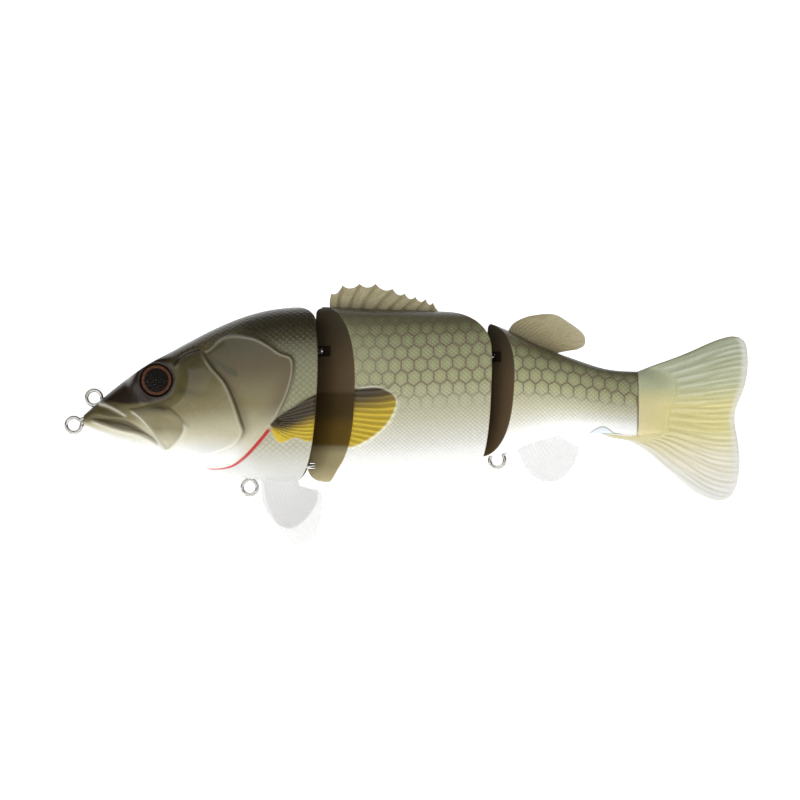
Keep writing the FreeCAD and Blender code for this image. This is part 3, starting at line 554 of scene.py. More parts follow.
PECTORAL = ((59.6, 0.4), (62.0, 2.8), (66.6, 5.6), (71.3, 8.4), (75.9, 10.4), (80.5, 11.0),
            (85.3, 11.4), (90.9, 11.8), (94.6, 10.6), (96.8, 8.7), (97.2, 6.2), (95.8, 2.5),
            (93.3, -0.9), (89.9, -3.7), (86.5, -5.6), (83.7, -6.4), (80.3, -6.2),
            (77.2, -4.2), (74.1, -4.0), (70.7, -4.8), (67.2, -3.6), (64.4, -4.6),
            (62.2, -5.1), (60.4, -2.8))
FOOT = ((154.4, -2.6), (156.5, -1.1), (158.5, -0.5), (160.2, -1.2), (161.8, -2.3), (164.4, -3.0),
        (167.2, -4.0), (169.5, -5.5), (162.0, -8.0), (154.4, -6.0))
FIN_ROOT = (57.0, 1.2)
FIN_RAYS = 12
PORES = ((29.2, 19.9), (30.6, 20.8), (31.9, 21.0), (33.0, 21.6), (34.6, 22.6), (36.3, 23.2))
EYE_RIM = 0.5           # how far the orbit's rim stands off the iris
ORBIT_REACH = 4.8       # width of the smooth ground round the rim
HEAD_COARSENESS = 1.45  # the head's diamond scales against the body's


EDGE_SOFTNESS = 0.45    # half width of the step up at a plate's edge


def lifted_edge(x, z, line, step, fall, side):
    """Plate edge: a step up on one side of a line that dies away with distance inwards."""
    distance, on, along = from_line(x, z, line, 3.0 * fall)
    ends = smoothstep(0.0, 0.10, along) * smoothstep(1.0, 0.86, along)
    within = np.where(on == side, distance, -distance)
    rise = smoothstep(-EDGE_SOFTNESS, EDGE_SOFTNESS, within)
    return step * ends * rise * np.exp(-np.clip(within, 0, None) / fall)


def stroke(x, z, line, width):
    """Mask of a stroke along a line: exp(-(distance / width)^2), thinning at its ends."""
    distance, _, along = from_line(x, z, line, 4.0 * width)
    ends = smoothstep(0.0, 0.12, along) * smoothstep(1.0, 0.86, along)
    return ends * np.exp(-(distance / width) ** 2)


def face_relief(x, z):
    """Height of the moulded face above the hull form."""
    relief = lifted_edge(x, z, GILL_EDGE, 0.95, 5.5, -1)
    relief += lifted_edge(x, z, CHEEK_EDGE, 1.10, 4.0, -1)
    for line, height, width in (
            (CHEEK_EDGE, -0.45, 0.5), (GILL_EDGE, 0.25, 0.6), (PLATE_CREST, 0.70, 0.45),
            (PLATE_RIM, 0.55, 0.7), (LIP_RIDGE, 0.65, 0.5), (MOUTH_LINE, -0.60, 0.7),
            (LOWER_RIDGE, 0.75, 0.6), (BROW_CREASE, -0.45, 0.45), (ORBIT_GROOVE, -0.40, 0.7)):
        relief += height * stroke(x, z, line, width)
    depth = inside_depth(x, z, JAW_PLATE, 5.0)
    relief += 0.70 * smoothstep(-0.4, 0.6, depth) - 0.35 * smoothstep(0.8, 3.2, depth)
    return relief


def seat_eye(skin):
    """Orbit round the eye: the skin swells or sinks smoothly to the level of its rim.

    The move is whole at the rim and dies away ORBIT_REACH further out, and towards the
    middle plane. Inside the rim the skin drops to the floor under the iris.
    """
    x, y, z = skin[..., 0], skin[..., 1], skin[..., 2]
    away = np.hypot(x - EYE_AT[0], z - EYE_AT[2])
    rim = IRIS_RADIUS + EYE_RIM
    face = IRIS_TOP + 0.40
    clear = np.maximum(smoothstep(0.0, 3.5, y), smoothstep(rim + 1.0, rim, away))
    held = y + (face - y) * smoothstep(rim + ORBIT_REACH, rim, away) * clear
    well = smoothstep(rim - 0.05, IRIS_RADIUS - 0.12, away)
    held = held * (1 - well) + (IRIS_TOP - 0.9) * well
    skin[..., 1] = held
    return skin


def fin_fields(x, z):
    """Pectoral fin: depth inside its outline, ray height and share across its rays."""
    depth = inside_depth(x, z, PECTORAL, 4.0)
    angle = np.degrees(np.arctan2(z - FIN_ROOT[1], x - FIN_ROOT[0]))
    upper = 30.0 - 13.0 * smoothstep(66.0, 94.0, x)
    lower = -34.0 + 18.0 * smoothstep(62.0, 82.0, x)
    across = np.clip((upper - angle) / (upper - lower), 0, 1)
    rays = (0.5 + 0.5 * np.cos(2 * math.pi * FIN_RAYS * across)) ** 1.6
    return depth, rays, across


def body_relief(x, girth, strength, coarseness=1.0):
    """Low diamond scales: two crossed sets of sine furrows on the girth grid."""
    pitch = settings().scale_pitch * coarseness
    a = np.sin(math.pi * (x * 0.9 + girth) / pitch)
    b = np.sin(math.pi * (x * 0.9 - girth) / pitch)
    return 0.05 * strength * np.minimum(np.abs(a), np.abs(b))


# ------------------------------------------------------------------ paint

def lay(colour, layer, mask):
    """Airbrush a colour over another where the mask is."""
    mask = mask[..., None]
    return colour * (1 - mask) + np.asarray(layer)[:3] * mask


def ramp(share, stops):
    """Colour along a run of (share, colour) stops."""
    at = [stop[0] for stop in stops]
    return np.stack([np.interp(share, at, [stop[1][k] for stop in stops])
                     for k in range(3)], axis=-1)


def patch(x, z, centre, reach):
    """Mask of a soft oval: exp(-r^2), where r is 1 at its half widths along x and z."""
    return np.exp(-(((x - centre[0]) / reach[0]) ** 2 + ((z - centre[1]) / reach[1]) ** 2))


def settings():
    """Sizes and colours of the hull's paint."""
    return bpy.context.scene.swimbait_hull


def height_share(form, x, z):
    """How high a place is between the belly line 0 and the back line 1."""
    back, belly = form.sizes(x)[:2]
    return np.clip((z - belly) / (back - belly), 0, 1)


def flank_colour(share, darker, back_from=0.93):
    """White belly, silver-olive flank and dark back, darkened by a factor.

    back_from is the height share where the dark of the back begins.
    """
    hull = settings()
    colour = ramp(share, (
        (0.00, hull.belly), (0.15, hull.belly), (0.36, hull.low_flank),
        (0.58, hull.flank), (back_from - 0.12, hull.high_flank),
        (back_from, hull.back), (1.00, hull.ridge)))
    return colour * darker[..., None]


def girth_length(form, skin):
    """Distance round the girth from the widest level, in millimetres, larger below it."""
    steps = np.linalg.norm(np.diff(skin[..., 1:], axis=0), axis=-1)
    run = np.concatenate([np.zeros((1, skin.shape[1])), np.cumsum(steps, axis=0)])
    level = form.sizes(skin[0, :, 0])[2]
    z = skin[..., 2]
    above = np.clip((z > level).sum(axis=0) - 1, 0, len(z) - 2)
    column = np.arange(skin.shape[1])
    share = (z[above, column] - level) / (z[above, column] - z[above + 1, column])
    start = run[above, column] + share * (run[above + 1, column] - run[above, column])
    return run - start


def pack_fields(colour, skin, girth, net, scales, coarseness=1.0):
    """Vertex fields that the paint's nodes read."""
    ones = np.ones(colour.shape[:2] + (1,))
    place = np.stack([skin[..., 0], girth, np.full_like(girth, coarseness)], axis=-1)
    marks = np.stack([net, scales, np.zeros_like(net), np.ones_like(net)], axis=-1)
    return {"paint": np.concatenate([colour, ones], axis=-1), "skin_mm": place, "marks": marks}


def paint_fin(colour, x, depth, rays, across):
    """Gold pectoral fin: dark towards its upper edge and its root, with a pale margin, and a
    painted highlight on the crest of every ray.
    """
    hull = settings()
    turn = np.interp(x, (60.0, 64.0, 67.5, 71.0, 76.0, 86.0, 96.0),
                     (0.90, 0.74, 0.58, 0.50, 0.42, 0.28, 0.20))
    gold = smoothstep(turn - 0.18, turn + 0.18, across)
    base = ramp(gold, ((0.0, hull.fin_dark), (1.0, hull.fin_gold)))
    crest_highlight = ramp(gold, ((0.0, hull.fin_tan_highlight), (1.0, hull.fin_bright)))
    # Painted highlight on the crests of the rays, over a base that brightens towards the gold.
    lit = 0.40 * gold + (0.35 + 0.20 * gold) * rays ** (1.2 - 0.8 * gold)
    fin = base * (1 - lit[..., None]) + crest_highlight * lit[..., None]
    fin = lay(fin, hull.fin_bright, 0.7 * smoothstep(0.88, 1.0, across) * smoothstep(84, 78, x))
    margin = smoothstep(0.9, 0.3, depth) * smoothstep(82.0, 88.0, x)
    fin = lay(fin, hull.fin_pale, 0.85 * margin)
    rim = smoothstep(-0.7, -0.2, depth) * smoothstep(82.0, 86.0, x)
    colour = lay(colour, hull.fin_pale, 0.5 * rim)
    mask = smoothstep(-0.1, 0.35, depth)[..., None]
    return colour * (1 - mask) + fin * mask


def paint_cheek(x, z, share, behind):
    """Head's side: flank colours behind the gill edge and the bare cheek ahead of it.

    behind is the distance behind that edge. Returns the colour and the cheek's mask.
    """
    hull = settings()
    tanned = np.clip(share + 0.11 * smoothstep(48.0, 56.0, x), 0, 1)
    colour = flank_colour(tanned, np.full(x.shape, 0.76))
    cheek = ramp(share, ((0.0, hull.belly), (0.14, hull.belly), (0.27, hull.cheek_low),
                         (0.45, hull.cheek), (0.68, hull.cheek_high), (1.0, hull.ridge)))
    on_face = smoothstep(0.4, -0.4, behind) * smoothstep(0.93, 0.85, share)
    on_face = np.maximum(on_face, smoothstep(41.0, 38.0, x) * smoothstep(0.97, 0.88, share))
    colour = colour * (1 - on_face[..., None]) + cheek * on_face[..., None]
    warm = smoothstep(7.0, 0.5, -behind) * (behind < 0) * smoothstep(0.25, 0.5, share)
    colour = lay(colour, hull.cheek_brown, 0.65 * warm * smoothstep(52.0, 60.0, x))
    colour = lay(colour, hull.cheek_brown,
                 0.60 * patch(x, z, (53.0, 17.5), (7.5, 4.0)) * on_face)
    # Painted shadow behind the eye, below the brow.
    colour = lay(colour, hull.smear_and_shade, 0.30 * patch(x, z, (36.0, 17.0), (5.0, 4.0)) * on_face)
    # Darker from z 15.5 up, from x 38 back.
    colour = lay(colour, hull.smear_and_shade, 0.40 * smoothstep(15.5, 23.5, z) * on_face
                 * smoothstep(38.0, 44.0, x))
    pale = smoothstep(4.5, 1.0, -behind) * (behind < 0) * smoothstep(6.0, -2.0, z)
    colour = lay(colour, hull.cheek_low, 0.45 * pale * smoothstep(48.0, 54.0, x))
    return colour, on_face


def paint_cheek_step(colour, x, z):
    """Painted shadow under the step at the cheek's edge, a painted shade line along the edge, and
    a painted highlight just beside it.
    """
    hull = settings()
    distance, side, _ = from_line(x, z, CHEEK_EDGE, 6.0)
    upper = smoothstep(-7.0, 2.0, z)
    colour = lay(colour, hull.cheek_brown, 0.6 * np.exp(-(distance / 2.2) ** 2)
                 * (side > 0) * upper)
    colour = lay(colour, hull.smear_and_shade, 0.8 * stroke(x, z, CHEEK_EDGE, 0.35) * upper)
    return lay(colour, hull.crest_highlight, 0.22 * stroke(x + 0.9, z, CHEEK_EDGE, 0.4))


def paint_mouth(colour, x, z):
    """Jaw plate, dark mouth and under lip, a painted shade line beside the plate's crest, and
    painted highlights on the crests of their ridges.
    """
    hull = settings()
    jaw = inside_depth(x, z, JAW_PLATE, 5.0)
    tone = ramp(z, ((-5.0, hull.cheek_low), (-1.0, hull.cheek), (2.5, hull.cheek),
                    (5.0, hull.jaw_shadow)))
    inside = (0.9 * smoothstep(0.0, 1.0, jaw))[..., None]
    colour = colour * (1 - inside) + tone * inside
    colour = lay(colour, hull.jaw_shadow,
                 0.8 * smoothstep(-0.3, 0.5, inside_depth(x, z, MOUTH_BAND, 3.0)))
    colour = lay(colour, hull.jaw_shadow,
                 0.7 * smoothstep(-0.2, 0.6, inside_depth(x, z, UNDER_LIP, 3.0)))
    # Painted shade in the crease beside the plate's crest.
    colour = lay(colour, hull.smear_and_shade, 0.6 * stroke(x - 0.4, z + 0.5, PLATE_CREST, 0.35))
    # Painted highlights along the crests of the ridges.
    for line, strength in ((LIP_RIDGE, 0.75), (PLATE_CREST, 0.8), (LOWER_RIDGE, 0.8),
                           (PLATE_RIM, 0.6)):
        colour = lay(colour, hull.crest_highlight, strength * stroke(x, z, line, 0.42))
    return colour


def paint_gill_edge(colour, z, distance, side, on_face):
    """Painted highlight along the rim of the gill plate, and painted shadow behind it."""
    hull = settings()
    rim = np.exp(-((distance - 0.5) / 0.3) ** 2) * (side < 0) * on_face
    colour = lay(colour, hull.crest_highlight, 0.30 * rim)
    shade = np.exp(-(distance / 0.8) ** 2) * (side > 0) * smoothstep(-2.0, 6.0, z)
    return lay(colour, hull.smear_and_shade, 0.45 * shade)


def paint_snout(colour, x, z):
    """Gloss snout and eye ring, the soft marks round them, painted shade along the brow crease and
    the orbit's groove, and the pores over the brow.
    """
    hull = settings()
    away = np.hypot(x - EYE_AT[0], z - EYE_AT[2])
    mask = inside_depth(x, z, SNOUT_MASK, 5.0)
    colour = lay(colour, hull.snout, smoothstep(-0.5, 0.7, mask) * smoothstep(32.5, 26.0, x))
    colour = lay(colour, hull.snout, smoothstep(IRIS_RADIUS + 1.3, IRIS_RADIUS + 0.7, away))
    colour = lay(colour, hull.smear_and_shade,
                 0.75 * smoothstep(-0.3, 0.7, inside_depth(x, z, STREAK, 3.0)))
    smear_and_shade = ((x - 34.5) / 5.2) ** 2 + ((z - 10.0 + 0.15 * (x - 34.5)) / 1.3) ** 2
    colour = lay(colour, hull.smear_and_shade, 0.6 * np.exp(-smear_and_shade))
    colour = lay(colour, hull.snout, 0.8 * stroke(x, z, BROW_CREASE, 0.5))
    colour = lay(colour, hull.snout, 0.6 * stroke(x, z, ORBIT_GROOVE, 0.7))
    for spot_x, spot_z in PORES:
        spot = np.hypot((x - spot_x) / 0.45, (z - spot_z) / 0.7)
        colour = lay(colour, hull.snout, 0.75 * smoothstep(1.0, 0.5, spot))
    return colour


def dress_head(skin, normal):
    """Relief, orbit and paint of the head."""
    x, z = skin[..., 0], skin[..., 2]
    hull = settings()
    girth = girth_length(FRONT, skin)
    edge = smoothstep(0.0, 1.0, (x[:, -1:] - x)) * smoothstep(0.0, 0.6, x - x[:, :1])
    gill_distance, gill_side, _ = from_line(x, z, GILL_EDGE, 40.0)
    behind = np.where((gill_side > 0) | (gill_distance >= 40.0), gill_distance, -gill_distance)
    scaly = smoothstep(0.1, 0.8, behind) * smoothstep(30.0, 44.0, x)
    share = height_share(FRONT, x, z)
    depth, rays, across = fin_fields(x, z)
    in_fin = smoothstep(-0.2, 0.3, depth)
    scaly = scaly * (1 - in_fin) * smoothstep(0.10, 0.22, share)
    relief = face_relief(x, z)
    relief += smoothstep(-0.5, 0.5, depth) * (0.50 + 0.28 * rays)
    relief += body_relief(x, girth, scaly, HEAD_COARSENESS)
    skin = skin + normal * (relief * edge)[..., None]
    skin = seat_eye(skin)

    colour, on_face = paint_cheek(x, z, share, behind)
    colour = paint_cheek_step(colour, x, z)
    colour = paint_mouth(colour, x, z)
    colour = paint_gill_edge(colour, z, gill_distance, gill_side, on_face)
    colour = paint_snout(colour, x, z)
    colour = paint_fin(colour, x, depth, rays, across)
    red = from_line(x, z, RED_LINE, 2.0)
    colour = lay(colour, hull.gill_red, smoothstep(0.75, 0.35, red[0])
                 * smoothstep(0.0, 0.05, red[2]) * smoothstep(1.0, 0.9, red[2]))
    return skin, pack_fields(colour, skin, girth, np.zeros_like(x), scaly, HEAD_COARSENESS)


def dress_middle(skin, normal):
    """Scales and paint of the middle section."""
    x, z = skin[..., 0], skin[..., 2]
    girth = girth_length(FRONT, skin)
    share = height_share(FRONT, x, z)
    depth, rays, across = fin_fields(x, z)
    edge = smoothstep(0.0, 0.8, (x[:, -1:] - x)) * smoothstep(0.0, 0.8, x - x[:, :1])
    scaly = (1 - smoothstep(-0.2, 0.3, depth)) * smoothstep(0.08, 0.24, share)
    relief = smoothstep(-0.5, 0.5, depth) * (0.45 + 0.28 * rays) + body_relief(x, girth, scaly)
    skin = skin + normal * (relief * edge)[..., None]
    net = smoothstep(0.36, 0.60, share) * smoothstep(0.985, 0.93, share) \
        * (0.45 + 0.55 * smoothstep(82.0, 98.0, x)) * (1 - smoothstep(-0.2, 0.3, depth))
    colour = flank_colour(share, np.full(x.shape, 0.98), 0.975)
    colour = paint_fin(colour, x, depth, rays, across)
    return skin, pack_fields(colour, skin, girth, net, scaly)


def dress_tail(skin, normal):
    """Scales and paint of the hard tail section."""
    x, z = skin[..., 0], skin[..., 2]
    hull = settings()
    girth = girth_length(TAIL, skin)
    share = height_share(TAIL, x, z)
    edge = smoothstep(0.0, 0.8, (x[:, -1:] - x)) * smoothstep(0.0, 0.8, x - x[:, :1])
    scaly = smoothstep(0.10, 0.26, share)
    skin = skin + normal * (body_relief(x, girth, scaly) * edge)[..., None]
    net = smoothstep(0.40, 0.58, share) * smoothstep(0.985, 0.93, share)
    colour = flank_colour(share, 1.12 - 0.2 * smoothstep(145.0, 169.0, x), 0.975)
    foot = inside_depth(x, z, FOOT, 3.0)
    colour = lay(colour, hull.foot, smoothstep(-0.1, 0.1, foot))
    # Dark line round the foot's outline, and darker over the last 0.7 mm before the wrist.
    colour = lay(colour, hull.smear_and_shade, 0.55 * smoothstep(0.3, 0.08, np.abs(foot)))
    colour = lay(colour, hull.smear_and_shade, 0.5 * smoothstep(0.7, 0.1, WRIST - x)
                 * smoothstep(10.0, 6.0, z))
    return skin, pack_fields(colour, skin, girth, net, scaly)


def paint_faces(grid, fields, is_face, painter, pin, heights):
    """Colour the joint faces, which carry no scales, and paint shade into their slots."""
    x, y, z = grid[..., 0], grid[..., 1], grid[..., 2]
    colour = painter(z)
    for height in heights:
        half = SLOT_HALF_HEIGHT if height == max(heights) else THROAT_HALF_HEIGHT
        reach = FAR if height == max(heights) else EYE_ROOM
        slot = smoothstep(half + 0.15, half - 0.05, np.abs(z - height)) \
            * smoothstep(pin + SLOT_BEHIND_PIN + 0.1, pin + SLOT_BEHIND_PIN - 0.2, x) * (y < reach)
        # Painted shade in the slot.
        colour = lay(colour, settings().slot, slot)
    mask = is_face[..., None]
    fields["paint"][..., :3] = fields["paint"][..., :3] * (1 - mask) + colour * mask
    fields["marks"][..., :2] *= 1 - mask
    fields["marks"][..., 2] = is_face
    return fields


def dark_face(z):
    """Joint face: near black at the top, brown further down."""
    hull = settings()
    return ramp(z / HEIGHT, ((-0.3, hull.face_brown), (0.25, hull.face_brown),
                             (0.50, hull.face_dark)))


def gold_face(z):
    """Front prow: as the others, with the pectoral fin's overspray and a pale foot."""
    hull = settings()
    colour = ramp(z / HEIGHT, ((-0.30, hull.face_pale), (-0.16, hull.face_pale),
                               (-0.09, hull.face_brown), (0.30, hull.face_brown),
                               (0.55, hull.face_dark)))
    colour = lay(colour, hull.face_gold, smoothstep(-6.6, -5.4, z) * smoothstep(6.0, 0.0, z))
    return lay(colour, hull.face_shade, 0.75 * smoothstep(-1.0, 4.0, z) * smoothstep(10.4, 9.0, z))


# ------------------------------------------------------------------ material nodes

class Shader:
    """Small maker of node materials."""

    def __init__(self, name):
        self.material = bpy.data.materials.new(name)
        self.material.use_nodes = True
        self.tree = self.material.node_tree
        self.surface = self.tree.nodes["Principled BSDF"]

    def node(self, kind, inputs=(), **properties):
        """Node with its inputs set by (socket, value or output) pairs."""
        made = self.tree.nodes.new(kind)
        for key, setting in properties.items():
            setattr(made, key, setting)
        for socket, source in inputs:
            self.join(made.inputs[socket], source)
        return made

    def join(self, socket, source):
        """Link an output to a socket, or set the socket to a plain value."""
        if isinstance(source, bpy.types.NodeSocket):
            self.tree.links.new(source, socket)
        else:
            socket.default_value = source

    def math(self, operation, a, b=0.0, c=0.0):
        """One step of arithmetic on values or outputs."""
        made = self.node("ShaderNodeMath", ((0, a), (1, b), (2, c)), operation=operation)
        return made.outputs[0]

    def attribute(self, name, output="Color"):
        """A vertex field of the piece."""
        return self.node("ShaderNodeAttribute", attribute_name=name).outputs[output]

    def fade(self, value, low, high, to_low=0.0, to_high=1.0):
        """Smooth step of a value between low and high."""
        made = self.node("ShaderNodeMapRange", (
            ("Value", value), ("From Min", low), ("From Max", high),
            ("To Min", to_low), ("To Max", to_high)), interpolation_type="SMOOTHSTEP")
        return made.outputs["Result"]

    def mix(self, share, a, b, blend="MIX"):
        """Colour b laid over colour a by a share."""
        made = self.node("ShaderNodeMix", data_type="RGBA", blend_type=blend)
        self.join(made.inputs["Factor"], share)
        self.join(made.inputs[6], a)
        self.join(made.inputs[7], b)
        return made.outputs[2]

    def noise(self, scale, detail=3.0, vector=None):
        """Cloudy noise, by default at the piece's own place in metres."""
        made = self.node("ShaderNodeTexNoise", (("Scale", scale), ("Detail", detail)))
        self.join(made.inputs["Vector"], vector or self.place())
        return made.outputs["Fac"]

    def place(self):
        """Place on the piece, in metres."""
        return self.node("ShaderNodeTexCoord").outputs["Object"]

    def bump(self, height, distance, strength):
        """Normal of a fine relief whose depth is given in millimetres."""
        made = self.node("ShaderNodeBump", (("Height", height), ("Strength", strength),
                                            ("Distance", distance / MM)))
        return made.outputs["Normal"]

    def set(self, **values):
        """Set sockets of the surface, with _ for a space in their names; the material."""
        for name, value in values.items():
            self.join(self.surface.inputs[name.replace("_", " ")], value)
        return self.material


def hull_paint():
    """Airbrushed plastic under clear coat: scale net, fine diamond scales, pearl fleck."""
    hull = settings()
    s = Shader("hull_paint")
    paint = s.attribute("paint")
    place = s.node("ShaderNodeSeparateXYZ", ((0, s.attribute("skin_mm", "Vector")),))
    marks = s.node("ShaderNodeSeparateColor", ((0, s.attribute("marks")),))
    along, round_girth = place.outputs[0], place.outputs[1]
    net, scales, on_face = marks.outputs[0], marks.outputs[1], marks.outputs[2]

    # painted net: distance from the nearer middle of two sets of hexagonal cells
    u = s.math("DIVIDE", along, hull.net_pitch)
    v = s.math("DIVIDE", round_girth, hull.net_pitch * hull.net_stretch)
    wander = s.noise(180.0, 2.0)
    u = s.math("MULTIPLY_ADD", wander, 0.28, u)
    v = s.math("MULTIPLY_ADD", s.noise(210.0, 2.0), 0.28, v)
    root3 = math.sqrt(3.0)
    cells = []
    for shift in (0.0, 0.5):
        a = s.math("SUBTRACT", s.math("FLOORED_MODULO", s.math("ADD", u, shift), 1.0), 0.5)
        b = s.math("SUBTRACT", s.math("FLOORED_MODULO", s.math("ADD", v, shift * root3), root3),
                   root3 / 2)
        a, b = s.math("ABSOLUTE", a), s.math("ABSOLUTE", b)
        slant = s.math("ADD", s.math("MULTIPLY", a, 0.5), s.math("MULTIPLY", b, root3 / 2))
        cells.append(s.math("MAXIMUM", a, slant))
    cell = s.math("MINIMUM", cells[0], cells[1])
    line = s.math("MULTIPLY", s.fade(cell, 0.395, 0.475), net)
    glow = s.math("MULTIPLY", s.fade(cell, 0.36, 0.05), net)

    # moulded diamond scales: two crossed sets of sine furrows, as in the mesh
    pitch = s.math("MULTIPLY", place.outputs[2], hull.scale_pitch)
    lean = s.math("MULTIPLY", along, 0.9)
    ridges = []
    for sign in ("ADD", "SUBTRACT"):
        across = s.math("DIVIDE", s.math(sign, lean, round_girth), pitch)
        wave = s.math("SINE", s.math("MULTIPLY", across, math.pi))
        ridges.append(s.math("ABSOLUTE", wave))
    diamond = s.math("MINIMUM", ridges[0], ridges[1])
    furrow = s.math("MULTIPLY", s.fade(diamond, 0.42, 0.05), scales)

    # colour: net, furrows, pearl fleck and a faint dust
    colour = s.mix(s.math("MULTIPLY", glow, 0.55), paint, hull.net_glow[:] + (1,), "SOFT_LIGHT")
    colour = s.mix(s.math("MULTIPLY", line, 0.72), colour, hull.net_line[:] + (1,))
    colour = s.mix(s.math("MULTIPLY", furrow, 0.42), colour, hull.scale_line[:] + (1,),
                   "MULTIPLY")
    fleck = s.math("MULTIPLY", s.fade(s.noise(2600.0, 2.0), 0.56, 0.72), scales)
    colour = s.mix(s.math("MULTIPLY", fleck, 0.06), colour, (1, 1, 0.92, 1), "SCREEN")
    dust = s.fade(s.noise(900.0, 4.0), 0.25, 0.75, 0.97, 1.03)
    colour = s.mix(1.0, colour, s.node("ShaderNodeCombineColor", (
        (0, dust), (1, dust), (2, dust))).outputs[0], "MULTIPLY")

    # relief and gloss: the joint faces are rougher and have next to no clear coat
    height = s.math("MULTIPLY", s.math("MULTIPLY", s.fade(diamond, 0.0, 0.8), scales), 0.7)
    height = s.math("ADD", height, s.math("MULTIPLY", s.noise(1500.0, 2.0), 0.05))
    rough = s.fade(s.noise(400.0, 3.0), 0.3, 0.7, 0.30, 0.38)
    rough = s.math("MULTIPLY_ADD", on_face, 0.30, rough)
    coat = s.math("MULTIPLY_ADD", on_face, -0.40, 0.45)
    rough = s.math("MULTIPLY_ADD", furrow, 0.12, rough)
    return s.set(Base_Color=colour, Roughness=rough, Normal=s.bump(height, 0.10, 0.8),
                 Specular_IOR_Level=0.22, Coat_Weight=coat, Coat_Roughness=0.06, Coat_IOR=1.42)


def wire_steel():
    """Bright drawn wire: fine lines and a few dull spots."""
    s = Shader("wire_steel")
    stretched = s.node("ShaderNodeMapping", (("Vector", s.place()), ("Scale", (1, 1, 6))))
    rub = s.noise(900.0, 4.0, stretched.outputs[0])
    tone = s.mix(s.fade(rub, 0.35, 0.7), (0.42, 0.40, 0.37, 1), (0.74, 0.73, 0.71, 1))
    return s.set(Base_Color=tone, Metallic=1.0, Roughness=s.fade(rub, 0.3, 0.7, 0.28, 0.14),
                 Normal=s.bump(rub, 0.01, 0.5))


def cast_lead():
    """Dull grey cast metal, pitted."""
    s = Shader("cast_lead")
    pits = s.noise(700.0, 5.0)
    tone = s.mix(s.fade(pits, 0.3, 0.7), (0.16, 0.16, 0.17, 1), (0.32, 0.32, 0.34, 1))
    return s.set(Base_Color=tone, Metallic=0.9, Roughness=0.55, Normal=s.bump(pits, 0.08, 0.6))


def iris_foil():
    """Foil eye: dark glossy pupil, copper ring, fine radial streaks."""
    eye = bpy.context.scene.swimbait_eye
    s = Shader("iris_foil")
    polar = s.node("ShaderNodeSeparateXYZ", ((0, s.attribute("polar", "Vector")),))
    radius, turn = polar.outputs[0], polar.outputs[1]
    streak_at = s.node("ShaderNodeCombineXYZ", ((0, s.math("MULTIPLY", radius, 0.6)),
                                                (1, s.math("MULTIPLY", turn, 9.0))))
    streaks = s.noise(2.2, 4.0, streak_at.outputs[0])
    copper = s.mix(s.fade(streaks, 0.3, 0.7), eye.copper_dark[:] + (1,), eye.copper[:] + (1,))
    pupil = s.mix(s.fade(streaks, 0.4, 0.8), eye.pupil[:] + (1,), eye.pupil_glow[:] + (1,))
    edge = s.math("MULTIPLY_ADD", s.noise(1.5, 2.0, streak_at.outputs[0]), 0.05, radius)
    colour = s.mix(s.fade(edge, 0.79, 0.83), pupil, copper)
    colour = s.mix(s.fade(radius, 0.94, 0.97), colour, eye.pupil[:] + (1,))
    foil = s.math("MULTIPLY", s.fade(edge, 0.78, 0.83), 0.6)
    return s.set(Base_Color=colour, Metallic=foil, Roughness=0.45, Specular_IOR_Level=0.05,
                 Normal=s.bump(streaks, 0.03, 0.4))


def clear_resin():
    """Clear cast dome: nearly see-through, with a soft gloss."""
    s = Shader("clear_resin")
    haze = s.noise(300.0, 2.0)
    return s.set(Base_Color=(0.012, 0.009, 0.007, 1), Alpha=0.22, IOR=1.45,
                 Roughness=s.fade(haze, 0.0, 1.0, 0.55, 0.62), Specular_IOR_Level=0.35)


def soft_plastic(name, glitter, clearness, streak_tone=(0.84, 0.83, 0.79, 1)):
    """Soft fin plastic: tinted by a field, with faint ray streaks, mould grain and glitter."""
    s = Shader(name)
    fan = s.node("ShaderNodeSeparateXYZ", ((0, s.attribute("fan", "Vector")),))
    streak_at = s.node("ShaderNodeCombineXYZ", (
        (0, s.math("MULTIPLY", fan.outputs[0], 70.0)),
        (1, s.math("MULTIPLY", fan.outputs[1], 3.0))))
    streaks = s.noise(1.0, 2.0, streak_at.outputs[0])
    streaks = s.math("MULTIPLY_ADD", s.math("SUBTRACT", streaks, 0.5),
                     s.fade(fan.outputs[1], 0.15, 0.5), 0.5)
    tint = s.attribute("tint")
    dark = s.mix(1.0, tint, streak_tone, "MULTIPLY")
    colour = s.mix(s.fade(streaks, 0.38, 0.62), dark, tint)
    grain = s.noise(1800.0, 3.0)
    spark = s.fade(s.noise(3000.0, 1.0), 0.72, 0.80)
    colour = s.mix(s.math("MULTIPLY", spark, glitter), colour, (1, 1, 1, 1))
    height = s.math("MULTIPLY_ADD", grain, 0.2, s.math("MULTIPLY", streaks, 0.6))
    return s.set(Base_Color=colour, Roughness=s.fade(grain, 0.3, 0.7, 0.24, 0.34),
                 Normal=s.bump(height, 0.03, 0.5), IOR=1.42, Alpha=1.0 - clearness,
                 Subsurface_Weight=0.3, Subsurface_Scale=0.003,
                 Subsurface_Radius=(1.0, 0.95, 0.8))


def studio_sheet():
    """Matt white paper sweep that gives off light of its own, so that it stays clear white."""
    stage = bpy.context.scene.swimbait_stage
    s = Shader("studio_sheet")
    grain = s.noise(60.0, 4.0)
    tone = s.mix(s.fade(grain, 0.3, 0.7), stage.sheet[:] + (1,), (0.94, 0.94, 0.94, 1))
    return s.set(Base_Color=tone, Roughness=0.85, Normal=s.bump(grain, 0.05, 0.2),
                 Emission_Color=(1, 1, 1, 1), Emission_Strength=stage.glow)


